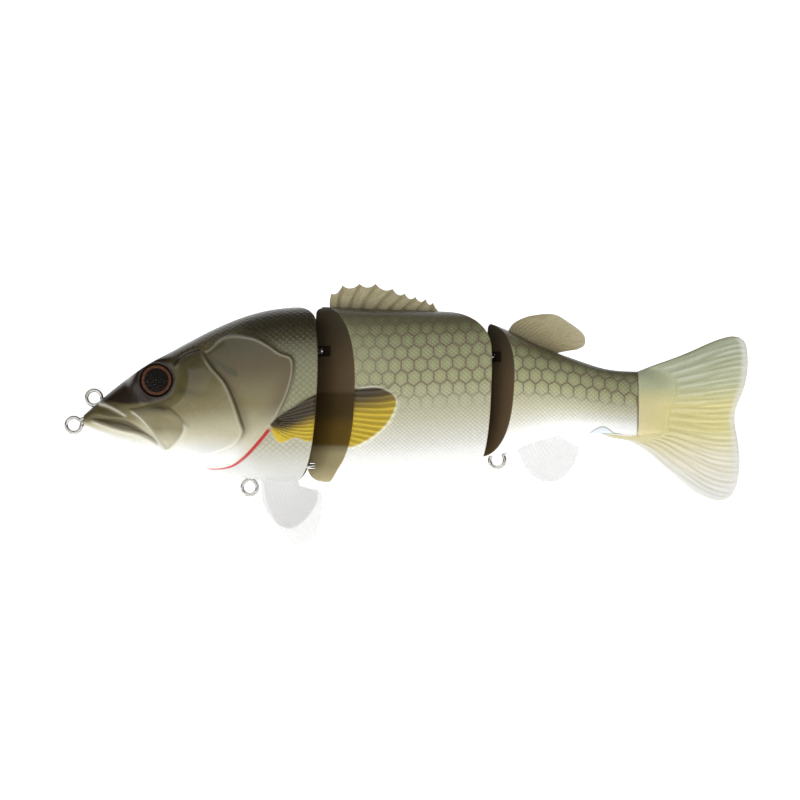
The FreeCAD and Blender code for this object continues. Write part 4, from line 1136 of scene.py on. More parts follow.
def studio_air():
    """Surroundings: pale where seen directly, and a weak fill light that fades overhead."""
    world = bpy.data.worlds.new("studio_air")
    world.use_nodes = True
    tree = world.node_tree
    view = tree.nodes.new("ShaderNodeTexCoord")
    split = tree.nodes.new("ShaderNodeSeparateXYZ")
    fall = tree.nodes.new("ShaderNodeMapRange")
    fall.interpolation_type = "SMOOTHSTEP"
    stage = bpy.context.scene.swimbait_stage
    for socket, value in (("From Min", -0.05), ("From Max", 0.75),
                          ("To Min", stage.horizon), ("To Max", stage.overhead)):
        fall.inputs[socket].default_value = value
    tree.links.new(view.outputs["Generated"], split.inputs[0])
    tree.links.new(split.outputs[2], fall.inputs["Value"])
    path = tree.nodes.new("ShaderNodeLightPath")
    seen = tree.nodes.new("ShaderNodeMath")
    seen.operation = "MULTIPLY"
    seen.inputs[1].default_value = stage.surround
    strongest = tree.nodes.new("ShaderNodeMath")
    strongest.operation = "MAXIMUM"
    background = tree.nodes["Background"]
    background.inputs["Color"].default_value = (1, 1, 1, 1)
    tree.links.new(path.outputs["Is Camera Ray"], seen.inputs[0])
    tree.links.new(seen.outputs[0], strongest.inputs[0])
    tree.links.new(fall.outputs["Result"], strongest.inputs[1])
    tree.links.new(strongest.outputs[0], background.inputs["Strength"])
    return world


# ------------------------------------------------------------------ wire and eyes

def tube(path, out_of_plane, radius, sides=20):
    """Round tube along a flat path: a circle turned in the plane of normal and binormal."""
    tangent = np.gradient(path, axis=0)
    tangent /= np.linalg.norm(tangent, axis=1, keepdims=True)
    binormal = np.tile(np.asarray(out_of_plane, float), (len(path), 1))
    normal = np.cross(binormal, tangent)
    angle = np.linspace(0, 2 * math.pi, sides, endpoint=False)
    ring = normal[:, None] * np.cos(angle)[None, :, None] \
        + binormal[:, None] * np.sin(angle)[None, :, None]
    points = (path[:, None] + radius * ring).reshape(-1, 3)
    faces = [grid_faces(len(path), sides, wrap_columns=True)]
    for end, flip in ((0, True), (len(path) - 1, False)):
        rim = end * sides + np.arange(sides)
        faces.append((rim[::-1] if flip else rim)[None, :])
    return points, faces


def eye_loop_path(centre, direction, across, ring, shank):
    """Bent wire eye: in along one leg, round the ring and back beside the first leg.

    The legs lie a wire radius each side of the middle, so the arc spans all but the
    angle whose sine is that radius over the ring's.
    """
    centre, direction, across = (np.asarray(v, float) for v in (centre, direction, across))
    gap = math.asin(WIRE_RADIUS / ring)
    angle = np.linspace(gap, 2 * math.pi - gap, 72)
    arc = centre + ring * (np.cos(angle)[:, None] * direction
                           + np.sin(angle)[:, None] * across)
    reach = np.linspace(shank, 0.4, 10)[:, None] + ring * math.cos(gap)
    first = centre + reach * direction + WIRE_RADIUS * across
    last = centre + reach[::-1] * direction - WIRE_RADIUS * across
    return np.vstack([first, arc, last])


def wire_eye(node, body, direction, across, ring, shank, material):
    """Wire eye at the place of a CAD ring, which it replaces."""
    low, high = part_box(node)
    direction = np.asarray(direction, float)
    outer = ring + WIRE_RADIUS
    centre = np.zeros(3)
    for k in range(3):
        if abs(across[k]) < 1e-9 and abs(direction[k]) < 1e-9:
            centre[k] = (low[k] + high[k]) * MM / 2
        elif direction[k] >= 0:
            centre[k] = low[k] * MM + outer
        else:
            centre[k] = high[k] * MM - outer
    path = eye_loop_path(centre, direction, across, ring, shank)
    plane = np.cross(across, direction)
    points, faces = tube(path, plane, WIRE_RADIUS)
    piece = new_mesh_object(node + "_wire", points, faces)
    clean(piece)
    return finish(piece, body, "stainless_wire", material, node)


def dome(name, side, floor, rise, slot, material, node, belly=0.0):
    """Round disc or dome: y = floor + rise * (1 - r^2) over a ring grid, and a flat back.

    belly is the thickness of the straight wall under the dome.
    """
    rings, turns = 40, 96
    r = np.concatenate([np.linspace(0.0, 1.0, rings), [1.0, 0.0]])
    lift = np.concatenate([floor + rise * (1 - np.linspace(0, 1, rings) ** 2),
                           [floor - belly, floor - belly]])
    angle = np.linspace(0, 2 * math.pi, turns, endpoint=False)
    x = EYE_AT[0] + IRIS_RADIUS * r[:, None] * np.cos(angle)
    z = EYE_AT[2] + IRIS_RADIUS * r[:, None] * np.sin(angle)
    y = np.repeat(side * lift[:, None], turns, axis=1)
    points = np.stack([x, y, z], axis=-1)
    polar = np.stack([np.repeat(r[:, None], turns, axis=1),
                      np.tile(np.abs(angle - math.pi), (len(r), 1)),
                      np.zeros_like(x)], axis=-1)
    piece = new_mesh_object(name, points.reshape(-1, 3),
                            [grid_faces(len(r), turns, wrap_columns=True)],
                            {"polar": polar.reshape(-1, 3)})
    clean(piece)
    return finish(piece, "head", slot, material, node)


# ------------------------------------------------------------------ fins

def coons(root, edge, leading, trailing, rows, columns):
    """Surface filling four border curves.

    u runs from leading to trailing and v from root to edge. The surface is the mean of
    the two ruled surfaces between opposite borders, less the bilinear one: root and edge
    blended by v, plus leading and trailing blended by u, minus their corners.
    """
    u = np.linspace(0, 1, columns)[None, :, None]
    v = np.linspace(0, 1, rows)[:, None, None]
    a, b = root[None], edge[None]
    c, d = leading[:, None], trailing[:, None]
    corners = (1 - u) * (1 - v) * root[0] + u * (1 - v) * root[-1] \
        + (1 - u) * v * edge[0] + u * v * edge[-1]
    return (1 - v) * a + v * b + (1 - u) * c + u * d - corners


def fin_sheet(root, edge, leading, trailing, rows, columns):
    """Middle surface of a fin from border outlines in (x, z)."""
    lines = [curve_through(points, count) for points, count in (
        (root, columns), (edge, columns), (leading, rows), (trailing, rows))]
    return coons(*lines, rows, columns)


def two_sided(name, centre, normal, half, fields):
    """Closed plate: a sheet offset by its half thickness to both sides, borders joined."""
    rows, columns = centre.shape[:2]
    front = centre + normal * half[..., None]
    back = centre - normal * half[..., None]
    points = np.concatenate([front.reshape(-1, 3), back.reshape(-1, 3)])
    sheet = grid_faces(rows, columns)
    size = rows * columns
    index = np.arange(size).reshape(rows, columns)
    loop = np.concatenate([index[0, :-1], index[:-1, -1], index[-1, :0:-1], index[:0:-1, 0]])
    nxt = np.roll(loop, -1)
    wall = np.stack([loop, loop + size, nxt + size, nxt], axis=1)
    doubled = {key: np.concatenate([values.reshape(size, -1)] * 2)
               for key, values in fields.items()}
    piece = new_mesh_object(name, points, [sheet, sheet[:, ::-1] + size, wall], doubled)
    clean(piece)
    return piece


def ray_height(u, v, rays, fork_at):
    """Height of fin rays: cosine ridges across u that split in two beyond fork_at."""
    single = 0.5 + 0.5 * np.cos(2 * math.pi * rays * u)
    double = 0.5 + 0.5 * np.cos(4 * math.pi * rays * u)
    fork = smoothstep(fork_at - 0.15, fork_at + 0.15, v)
    return single * (1 - fork) + double * fork


def fin_grid(rows, columns):
    """u across the columns and v up the rows, each from 0 to 1."""
    u = np.tile(np.linspace(0, 1, columns), (rows, 1))
    v = np.repeat(np.linspace(0, 1, rows)[:, None], columns, axis=1)
    return u, v


def border_fall(u, v, soft_u=0.02, soft_v=0.03):
    """1 inside a fin, falling to 0 at its free borders."""
    return np.sqrt(np.clip(smoothstep(0, soft_u, u) * smoothstep(1, 1 - soft_u, u)
                           * smoothstep(1, 1 - soft_v, v), 0, 1))


def upright(sheet):
    """Sheet of (x, z) stood on the middle plane."""
    return np.stack([sheet[..., 0], np.zeros(sheet.shape[:2]), sheet[..., 1]], axis=-1)


def fan_fields(u, v, tint):
    """Vertex fields that the soft plastic's nodes read."""
    ones = np.ones(u.shape + (1,))
    return {"fan": np.stack([u, v, np.zeros_like(u)], axis=-1),
            "tint": np.concatenate([tint, ones], axis=-1)}


LEAF_ROOT = 0.55        # half thickness of a soft rayed fin at its root
LEAF_EDGE = 0.16        # and at its edge
LEAF_FORK = 0.55        # height share where its rays split
SPINES = ((77.2, 39.5), (80.6, 41.9), (85.7, 42.4), (90.5, 42.4), (95.6, 40.9),
          (99.2, 39.5), (102.4, 38.5), (105.5, 37.8), (107.7, 36.8), (110.8, 34.1))


def scalloped_edge(tips, columns, dip):
    """Straight runs between spine tips, each sagging by dip * sin(pi s)^0.8 between them."""
    at = np.linspace(0, len(tips) - 1, columns)
    tips = np.asarray(tips)
    index = np.arange(len(tips))
    edge = np.stack([np.interp(at, index, tips[:, k]) for k in (0, 1)], axis=1)
    edge[:, 1] -= dip * np.abs(np.sin(math.pi * at)) ** 0.8
    return edge, at


def spiny_dorsal(material):
    """Fin of stiff spines with a scalloped edge."""
    fins = bpy.context.scene.swimbait_fins
    rows, columns = 40, 10 * 36 + 1
    edge, at = scalloped_edge(SPINES, columns, 1.15)
    u, v = fin_grid(rows, columns)
    base_x = 76.9 + (SPINES[-1][0] - 76.6) * np.linspace(0, 1, columns) ** 1.25
    base_z = FRONT.sizes(base_x)[0] - 1.0
    root = np.stack([base_x, base_z], axis=1)
    leading = curve_through([root[0], ((root[0][0] + edge[0][0]) / 2 - 0.3, 37.0), edge[0]], rows)
    trailing = curve_through([root[-1], edge[-1]], rows)
    sheet = coons(root, edge, leading, trailing, rows, columns)
    spine = np.abs(np.cos(math.pi * at))[None, :] ** 10
    half = 0.20 + 0.34 * spine * (1 - 0.75 * v) + 0.18 * (1 - v)
    half = half * (0.25 + 0.75 * border_fall(u, v))
    normal = np.tile([0.0, -1.0, 0.0], (rows, columns, 1))
    tint = ramp(v, ((0.0, fins.olive_dark), (0.5, fins.olive), (1.0, fins.olive)))
    tint = tint * (1 - 0.22 * np.repeat(spine, rows, axis=0))[..., None]
    piece = two_sided("spiny_dorsal", upright(sheet), normal, half, fan_fields(u, v, tint))
    return finish(piece, "middle", "olive_fin", material, "spiny_dorsal_fin")


def leaf_fin(name, borders, rays, tints, body, slot, material, node, place=None, depth=0.45):
    """Soft rayed fin from its four borders in (x, z).

    depth is the share of the thickness that its rays take up, and place puts the sheet in
    space.
    """
    rows, columns = 60, 200
    u, v = fin_grid(rows, columns)
    sheet = fin_sheet(*borders, rows, columns)
    ridges = ray_height(u, v, rays, LEAF_FORK)
    half = (LEAF_ROOT * (1 - v) + LEAF_EDGE * v) * (1 - depth + depth * ridges)
    half = half * (0.2 + 0.8 * border_fall(u, v))
    # Painted shade between the rays: the tint darkens where the ridges fall.
    tint = ramp(v, tints) * (1 - 0.22 * depth * (1 - ridges))[..., None]
    if place is None:
        centre = upright(sheet)
        normal = np.tile([0.0, -1.0, 0.0], (rows, columns, 1))
    else:
        centre, normal = place(sheet, v)
    piece = two_sided(name, centre, normal, half, fan_fields(u, v, tint))
    return finish(piece, body, slot, material, node)


SOFT_DORSAL = (
    ((129.9, 27.6), (134.0, 25.4), (138.5, 23.2), (143.6, 21.2)),
    ((140.6, 33.3), (144.5, 33.1), (147.9, 31.2), (152.0, 28.2), (153.4, 26.0),
     (153.0, 23.7), (150.8, 22.6)),
    ((129.9, 27.6), (132.0, 30.6), (136.0, 32.5), (140.6, 33.3)),
    ((143.6, 21.2), (147.0, 22.0), (150.8, 22.6)),
)
ANAL = (
    ((132.6, -6.0), (136.5, -4.6), (141.0, -3.0), (145.6, -2.6)),
    ((141.0, -17.0), (144.2, -16.9), (147.4, -15.0), (149.8, -11.9), (151.3, -8.9),
     (151.4, -6.8)),
    ((132.6, -6.0), (134.4, -10.6), (137.5, -15.0), (141.0, -17.0)),
    ((145.6, -2.6), (148.4, -5.0), (151.4, -6.8)),
)
PELVIC = (
    ((56.2, -1.4), (60.0, -2.1), (63.6, -2.2), (66.4, -1.2)),
    ((60.4, 17.2), (62.2, 19.6), (64.6, 21.3), (66.6, 21.2), (68.9, 18.8), (71.0, 15.6),
     (72.6, 11.6), (73.5, 8.0), (73.4, 4.8)),
    ((56.2, -1.4), (56.4, 4.0), (57.0, 9.0), (58.6, 14.0), (60.4, 17.2)),
    ((66.4, -1.2), (67.6, 2.8), (70.4, 4.0), (73.4, 4.8)),
)


def pelvic_place(side, splay, trail):
    """Swing a pelvic sheet out from upright, with a slight curl and a backward trail."""
    angle = math.radians(splay)
    root_y = 0.22 * HALF_WIDTH
    root_z = -0.295 * HEIGHT
    length = 21.7

    def place(sheet, v):
        down = sheet[..., 1]
        curl = -0.9 * np.sin(math.pi * np.clip(down / length, 0, 1))
        x = sheet[..., 0] + trail * np.clip(down / length, 0, 1)
        y = side * (root_y + down * math.sin(angle) + curl * math.cos(angle))
        z = root_z - down * math.cos(angle) + curl * math.sin(angle)
        centre = np.stack([x, y, z], axis=-1)
        normal = np.tile([0.0, side * math.cos(angle), math.sin(angle)], v.shape + (1,))
        return centre, normal * -side
    return place


TAIL_FIN = (
    ((169.1, 16.1), (169.1, 10.0), (169.1, 4.0), (169.0, -1.6), (168.0, -3.2), (165.6, -3.3),
     (162.0, -2.9), (157.6, -2.4)),
    ((199.6, 26.3), (201.3, 24.8), (202.1, 21.8), (202.2, 17.4), (201.6, 13.0), (200.5, 9.4),
     (199.1, 6.2), (198.3, 3.0), (198.4, -0.2), (199.1, -4.2), (199.7, -8.8), (199.6, -13.6),
     (198.8, -18.2), (197.4, -21.0), (195.4, -22.6)),
    ((169.1, 16.1), (174.3, 18.1), (179.5, 19.9), (185.0, 22.1), (190.6, 24.6), (194.5, 26.0),
     (197.4, 26.6), (199.6, 26.3)),
    ((157.6, -2.4), (160.4, -3.7), (163.8, -4.3), (167.2, -5.2), (172.3, -8.4), (177.1, -12.8),
     (181.8, -16.8), (186.2, -20.2), (190.2, -22.2), (193.2, -22.9), (195.4, -22.6)),
)
FOLD_AT = np.array((0.0, 0.10, 0.22, 0.40, 0.60, 0.80, 1.0))
FOLD_SHARE = np.array((0.12, 0.24, 0.33, 0.31, 0.27, 0.24, 0.22))   # where the thick root ends
BLADE_HALF = 0.95       # half thickness of the tail's blade at its root
TAIL_RAYS = 16
TAIL_FORK = 0.66        # share out from the root where the tail's rays split


def soft_tail(material):
    """Soft tail: a thick root as deep as the wrist, then a thin blade of forked rays."""
    fins = bpy.context.scene.swimbait_fins
    rows, columns = 180, 260
    u, v = fin_grid(rows, columns)
    sheet = fin_sheet(*TAIL_FIN, rows, columns)
    root_z = sheet[0, :, 1]
    wrist = TAIL.skin_y(np.full(columns, WRIST), root_z) - 0.12
    wrist = np.where(sheet[0, :, 0] < WRIST - 0.5, 0.9, np.clip(wrist, 0.3, None))
    fold = spline(FOLD_AT, FOLD_SHARE, u)
    root = 1 - smoothstep(0.0, 1.0, v / fold)
    beyond = smoothstep(0.0, 0.06, v - fold)
    inner = smoothstep(1.0, 0.93, v) * smoothstep(0.0, 0.05, u) * smoothstep(1.0, 0.95, u)
    ridges = ray_height(u, v, TAIL_RAYS, TAIL_FORK) * beyond * inner
    blade = BLADE_HALF - 0.60 * smoothstep(fold, 1.0, v) + 0.13 * ridges * (1 - 0.4 * v)
    lip = 0.22 * np.exp(-((v - fold) / 0.014) ** 2) * smoothstep(0.15, 0.35, u) \
        * smoothstep(0.80, 0.62, u)
    half = np.maximum(blade, 0.16) + lip + root * np.clip(wrist[None, :] - BLADE_HALF, 0.0, None)
    half = half * (0.12 + 0.88 * border_fall(u, v, 0.012, 0.02))
    half[0] = wrist
    height = sheet[..., 1]
    tint = ramp(height, ((-22.0, fins.tail_white), (-9.0, fins.tail_cream),
                         (-1.0, fins.tail_yellow), (6.0, fins.tail_yellow),
                         (12.0, fins.tail_green), (26.0, fins.tail_grey)))
    tint = lay(tint, fins.tail_root, 0.6 * root * smoothstep(12.0, 4.0, height))
    tint = lay(tint, fins.tail_white, smoothstep(0.92, 0.97, v) * 0.6)
    tint = lay(tint, fins.tail_white, smoothstep(0.90, 0.99, u) * 0.8)
    tint = lay(tint, fins.olive_dark, smoothstep(0.03, 0.0, u) * 0.6)
    # Painted glints on the crests of the rays.
    tint = lay(tint, fins.tail_white, 0.30 * ridges ** 3 * smoothstep(-4.0, 14.0, height))
    # Painted shade between the rays.
    tint = tint * (1 - 0.07 * beyond * inner * (1 - ridges))[..., None]
    normal = np.tile([0.0, -1.0, 0.0], (rows, columns, 1))
    piece = two_sided("soft_tail", upright(sheet), normal, half, fan_fields(u, v, tint))
    return finish(piece, "tail", "soft_tail", material, "caudal_fin")


# ------------------------------------------------------------------ settings

def colour_setting(name, description, value):
    """Property of one linear colour."""
    return FloatVectorProperty(name=name, description=description, default=value,
                               subtype="COLOR", size=3, min=0.0, max=1.0)


class SWIMBAIT_PG_hull(bpy.types.PropertyGroup):
    """Sizes and colours of the painted hull"""
    net_pitch: FloatProperty(name="Net pitch", default=3.8, min=1.0,
                             description="Width of a cell of the painted scale net, in mm")
    net_stretch: FloatProperty(name="Net stretch", default=1.14, min=0.5,
                               description="Height of a cell against its width")
    scale_pitch: FloatProperty(name="Scale pitch", default=1.25, min=0.4,
                               description="Spacing of the moulded diamond scales, in mm")
    belly: colour_setting("Belly", "Belly white", (0.96, 0.96, 0.93))
    low_flank: colour_setting("Low flank", "Pale lower flank", (0.70, 0.68, 0.50))
    flank: colour_setting("Flank", "Silver-olive flank", (0.47, 0.46, 0.27))
    high_flank: colour_setting("High flank", "Olive upper flank", (0.33, 0.325, 0.19))
    back: colour_setting("Back", "Dark back", (0.115, 0.098, 0.046))
    ridge: colour_setting("Ridge", "Darkest line of the back", (0.062, 0.052, 0.026))
    cheek_low: colour_setting("Low cheek", "Pale lower cheek", (0.66, 0.62, 0.43))
    cheek: colour_setting("Cheek", "Olive-silver cheek", (0.28, 0.24, 0.12))
    cheek_high: colour_setting("High cheek", "Upper cheek", (0.112, 0.092, 0.036))
    # Also the painted shadow under the step at the cheek's edge.
    cheek_brown: colour_setting("Cheek brown", "Brown airbrush on the gill plate",
                                (0.13, 0.085, 0.04))
    jaw_shadow: colour_setting("Jaw shadow", "Dark paint along the mouth", (0.07, 0.055, 0.025))
    # Also painted shade along the brow crease and the orbit's groove.
    snout: colour_setting("Snout", "Gloss brown snout and eye ring", (0.022, 0.013, 0.007))
    # Soft dark marks airbrushed on the head, and painted shade beside the face's plates and ridges
    # and behind the eye.
    smear_and_shade: colour_setting("Smear", "Soft dark marks on the cheek", (0.06, 0.06, 0.025))
    gill_red: colour_setting("Gill red", "Red line on the gill plate", (0.55, 0.02, 0.02))
    net_line: colour_setting("Net line", "Lines of the scale net", (0.17, 0.135, 0.075))
    net_glow: colour_setting("Net glow", "Middle of each net cell", (0.62, 0.78, 0.50))
    scale_line: colour_setting("Scale line", "Furrows between diamond scales",
                               (0.40, 0.36, 0.26))
    # Painted highlight along the crests of the face's ridges and along the gill plate's rim.
    crest_highlight: colour_setting("Crest", "Rubbed crests of the face's ridges", (0.80, 0.77, 0.62))
    fin_gold: colour_setting("Fin gold", "Pectoral fin", (0.27, 0.17, 0.006))
    # Bright gold of the fin's lowest rays, and the painted highlight on the gold rays' crests.
    fin_bright: colour_setting("Fin bright", "Crests of the gold rays", (0.70, 0.51, 0.03))
    fin_dark: colour_setting("Fin dark", "Pectoral fin's upper part", (0.042, 0.028, 0.013))
    # Painted highlight on the dark rays' crests.
    fin_tan_highlight: colour_setting("Fin tan", "Crests of the dark rays", (0.13, 0.095, 0.04))
    fin_pale: colour_setting("Fin pale", "Pectoral fin's margin", (0.90, 0.88, 0.66))
    foot: colour_setting("Foot", "Soft foot moulded round the wrist", (0.74, 0.80, 0.84))
    # Painted shade in the hinge slots.
    slot: colour_setting("Slot", "Hinge slots", (0.026, 0.019, 0.012))
    face_shade: colour_setting("Face shade", "Dark band on the front prow", (0.055, 0.034, 0.008))
    face_dark: colour_setting("Face dark", "Top of the joint faces", (0.060, 0.046, 0.026))
    face_brown: colour_setting("Face brown", "Joint faces", (0.132, 0.088, 0.045))
    face_pale: colour_setting("Face pale", "Foot of the front prow", (0.42, 0.36, 0.19))
    face_gold: colour_setting("Face gold", "Overspray on the front prow", (0.135, 0.082, 0.014))


class SWIMBAIT_PG_eye(bpy.types.PropertyGroup):
    """Colours of the foil eyes"""
    copper: colour_setting("Copper", "Bright copper ring", (0.38, 0.155, 0.075))
    copper_dark: colour_setting("Dark copper", "Streaks in the ring", (0.11, 0.035, 0.015))
    pupil: colour_setting("Pupil", "Pupil and rim", (0.004, 0.003, 0.002))
    pupil_glow: colour_setting("Pupil glow", "Brown depth of the pupil", (0.020, 0.008, 0.005))


class SWIMBAIT_PG_fins(bpy.types.PropertyGroup):
    """Colours of the fins and the soft tail"""
    olive: colour_setting("Olive", "Dorsal fins", (0.42, 0.37, 0.22))
    olive_dark: colour_setting("Dark olive", "Dorsal fins' roots", (0.30, 0.26, 0.15))
    clear: colour_setting("Clear", "Left pelvic fin", (0.92, 0.92, 0.92))
    # Painted shade: the right pelvic and anal fins are tinted darker than the left, though all are
    # the same clear plastic.
    clear_shaded: colour_setting("Dull clear", "Right pelvic and anal fins", (0.70, 0.70, 0.70))
    tail_root: colour_setting("Tail root", "Warm root of the soft tail", (0.82, 0.71, 0.42))
    tail_yellow: colour_setting("Tail yellow", "Middle rays", (0.82, 0.76, 0.38))
    tail_green: colour_setting("Tail green", "Upper root", (0.60, 0.63, 0.42))
    tail_grey: colour_setting("Tail grey", "Upper rays", (0.42, 0.46, 0.36))
    tail_cream: colour_setting("Tail cream", "Lower rays", (0.93, 0.88, 0.70))
    # Also painted glints on the crests of the tail's rays.
    tail_white: colour_setting("Tail white", "Lower lobe and margins", (0.95, 0.95, 0.93))


class SWIMBAIT_PG_stage(bpy.types.PropertyGroup):
    """Camera, floor and lights"""
    lens: FloatProperty(name="Lens", description="Camera lens", default=120.0, min=20.0,
                        unit="CAMERA")
    view_width: FloatProperty(name="View width", description="Width seen at the lure",
                              default=0.240, unit="LENGTH")
    floor_drop: FloatProperty(name="Floor drop", description="Floor below the lowest fin",
                              default=0.030, unit="LENGTH")
    sheet: colour_setting("Sheet", "Studio sheet", (0.90, 0.90, 0.90))
    glow: FloatProperty(name="Glow", description="Light given off by the sheet", default=0.8,
                        min=0.0)
    surround: FloatProperty(name="Surround", description="Surroundings where seen directly",
                            default=0.95, min=0.0)
    horizon: FloatProperty(name="Horizon", description="Fill light from level and below",
                           default=0.053, min=0.0)
    overhead: FloatProperty(name="Overhead", description="Fill light from straight above",
                            default=0.018, min=0.0)
    key: FloatProperty(name="Key", description="Power of the key light", default=2.5,
                       min=0.0, unit="POWER")


# ------------------------------------------------------------------ operators

HULL_NODES = {"head": "head_shell_", "middle": "mid_shell_", "tail": "tail_shell_"}


def hull_section(prefix, body, form, front, rear, ranges, grid_size, dress, painter,
                 pin=0.0, heights=()):
    """Two closed half skins of a hull section, each for its moulded half.

    ranges are the x between which the front and the rear joint faces lie, grid_size is
    half_skin's rows, columns and face_columns, and painter colours a joint face by z.
    """
    material = bpy.data.materials.get("hull_paint") or hull_paint()
    grid, fields, is_face = half_skin(
        form, front, rear, ranges[0], ranges[1], *grid_size, heights, dress)
    fields = paint_faces(grid, fields, is_face, painter, pin, heights)
    for word, side in (("left", LEFT), ("right", RIGHT)):
        piece = close_half("%s_skin_%s" % (prefix, word), side, grid, fields)
        finish(piece, body, "painted_hull", material, HULL_NODES[body] + word)


def hinge_heights(joint):
    """Heights of a joint's upper and lower hinge eyes."""
    return [middle("%s_hinge_eye_%s" % (joint, word))[2] for word in ("upper", "lower")]


class SWIMBAIT_OT_head(bpy.types.Operator):
    """Build the two halves of the painted head"""
    bl_idname = "swimbait.head"
    bl_label = "Head"

    def execute(self, context):
        notch = rounded_face(back_at=FRONT_PIN - 5.6, top=0.672 * HEIGHT, upper=2.4,
                             belly_at=FRONT_PIN - 8.9, low=-0.324 * HEIGHT, lower=0.0)
        hull_section("head", "head", FRONT, flat_face(NOSE), plain(notch, NOTCH_SLOPE),
                     ranges=((NOSE - 1, NOSE + 1), (NOSE + 40, FRONT_PIN + 12)),
                     grid_size=(250, 290, 15), dress=dress_head, painter=dark_face)
        return {"FINISHED"}


class SWIMBAIT_OT_middle(bpy.types.Operator):
    """Build the two halves of the painted middle section"""
    bl_idname = "swimbait.middle"
    bl_label = "Middle"

    def execute(self, context):
        prow = straight_face(back_at=FRONT_PIN - 1.6, back_z=0.667 * HEIGHT,
                             belly_at=FRONT_PIN - 4.6, belly_z=-0.324 * HEIGHT,
                             top_round=1.6, low_round=5.0)
        heights = hinge_heights("front")
        front = slotted(prow, PROW_SLOPE, FRONT_PIN, heights)
        notch = rounded_face(back_at=REAR_PIN - 4.2, top=0.650 * HEIGHT, upper=10.5,
                             belly_at=REAR_PIN - 5.9, low=-0.288 * HEIGHT, lower=6.8)
        hull_section("mid", "middle", FRONT, front, plain(notch, NOTCH_SLOPE),
                     ranges=((FRONT_PIN - 8, FRONT_PIN + 25), (REAR_PIN - 26, REAR_PIN + 6)),
                     grid_size=(280, 225, 44), dress=dress_middle, painter=gold_face,
                     pin=FRONT_PIN, heights=heights)
        return {"FINISHED"}


class SWIMBAIT_OT_tail(bpy.types.Operator):
    """Build the two halves of the painted hard tail"""
    bl_idname = "swimbait.tail"
    bl_label = "Tail"

    def execute(self, context):
        prow = straight_face(back_at=REAR_PIN - 1.0, back_z=0.583 * HEIGHT,
                             belly_at=REAR_PIN - 4.4, belly_z=-0.173 * HEIGHT, top_round=1.6)
        heights = hinge_heights("rear")
        front = slotted(prow, PROW_SLOPE, REAR_PIN, heights)
        hull_section("tail", "tail", TAIL, front, flat_face(WRIST),
                     ranges=((REAR_PIN - 8, REAR_PIN + 20), (WRIST - 3, WRIST + 3)),
                     grid_size=(230, 230, 40), dress=dress_tail, painter=dark_face,
                     pin=REAR_PIN, heights=heights)
        return {"FINISHED"}


class SWIMBAIT_OT_eyes(bpy.types.Operator):
    """Build the foil irises and their clear domes"""
    bl_idname = "swimbait.eyes"
    bl_label = "Eyes"

    def execute(self, context):
        foil = iris_foil()
        resin = clear_resin()
        for word, side in (("left", LEFT), ("right", RIGHT)):
            dome("iris_" + word, side, floor=IRIS_TOP, rise=-0.25, slot="eye_foil",
                 material=foil, node="eye_iris_" + word, belly=1.1)
            dome("eye_dome_" + word, side, floor=IRIS_TOP + 0.05,
                 rise=LENS_TOP - IRIS_TOP - 0.1, slot="eye_dome",
                 material=resin, node="eye_lens_" + word)
        return {"FINISHED"}


class SWIMBAIT_OT_wire(bpy.types.Operator):
    """Build the line ties, hook hangers, hinge eyes and pins"""
    bl_idname = "swimbait.wire"
    bl_label = "Wire"

    def execute(self, context):
        steel = wire_steel()
        for node, body, lean, shank in (
                ("nose_line_tie", "head", 24.0, 5.5), ("brow_line_tie", "head", -28.0, 7.5),
                ("front_hook_hanger", "head", 90.0, 7.5), ("rear_hook_hanger", "tail", 53.0, 7.5)):
            run, rise = math.cos(math.radians(lean)), math.sin(math.radians(lean))
            wire_eye(node, body, (run, 0.0, rise), (-rise, 0.0, run), RING_RADIUS, shank, steel)
        for joint, body in (("front", "head"), ("rear", "middle")):
            for word in ("upper", "lower"):
                wire_eye("%s_hinge_eye_%s" % (joint, word), body, (-1.0, 0.0, 0.0),
                         (0.0, 1.0, 0.0), HINGE_RING, 11.5, steel)
        for node in ("front_hinge_pin", "rear_hinge_pin"):
            dress_node(node, steel)
        return {"FINISHED"}


def dress_node(name, material):
    """Give a CAD node a finished material."""
    node = frame["nodes"][name]
    node.data.materials.clear()
    node.data.materials.append(material)


def cast_slugs(name, node, body, slimness, material):
    """Cast slugs across the hull in a node's box, one at each end of it.

    A slug is a superellipsoid whose corners are well rounded: each coordinate is a half
    size times a power of the sines and cosines of the polar angles, which keeps their sign.
    """
    rings, turns = 28, 48
    low, high = (np.array(end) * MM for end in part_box(node))
    radius = (high[2] - low[2]) / 2
    half = np.array([radius, (high[1] - low[1]) / 2 * slimness, radius])
    turn = np.linspace(0, 2 * math.pi, turns, endpoint=False)[None, :]
    lean = np.linspace(0, math.pi, rings)[:, None]

    def power(value, exponent):
        return np.sign(value) * np.abs(value) ** exponent

    ring = power(np.sin(lean), 0.45)
    slug = np.stack([ring * power(np.sin(turn), 0.9),
                     np.broadcast_to(power(np.cos(lean), 0.45), (rings, turns)),
                     ring * power(np.cos(turn), 0.9)], axis=-1) * half
    middle_y, middle_z = (low[1:] + high[1:]) / 2
    centres = sorted({round(low[0] + radius, 3), round(high[0] - radius, 3)})
    points = np.concatenate([(slug + (x, middle_y, middle_z)).reshape(-1, 3) for x in centres])
    faces = grid_faces(rings, turns, wrap_columns=True)
    piece = new_mesh_object(name, points,
                            [faces + rings * turns * k for k in range(len(centres))])
    clean(piece)
    return finish(piece, body, "ballast_metal", material, node)


class SWIMBAIT_OT_ballast(bpy.types.Operator):
    """Build the cast ballast slugs inside the hull"""
    bl_idname = "swimbait.ballast"
    bl_label = "Ballast"

    def execute(self, context):
        lead = cast_lead()
        for word, body, slimness in (("head", "head", 0.72), ("mid", "middle", 0.92),
                                     ("tail", "tail", 0.95)):
            cast_slugs(word + "_slug", word + "_ballast", body, slimness, lead)
        return {"FINISHED"}


CLEAR_DEPTH = 0.15      # depth of the rays on the clear fins


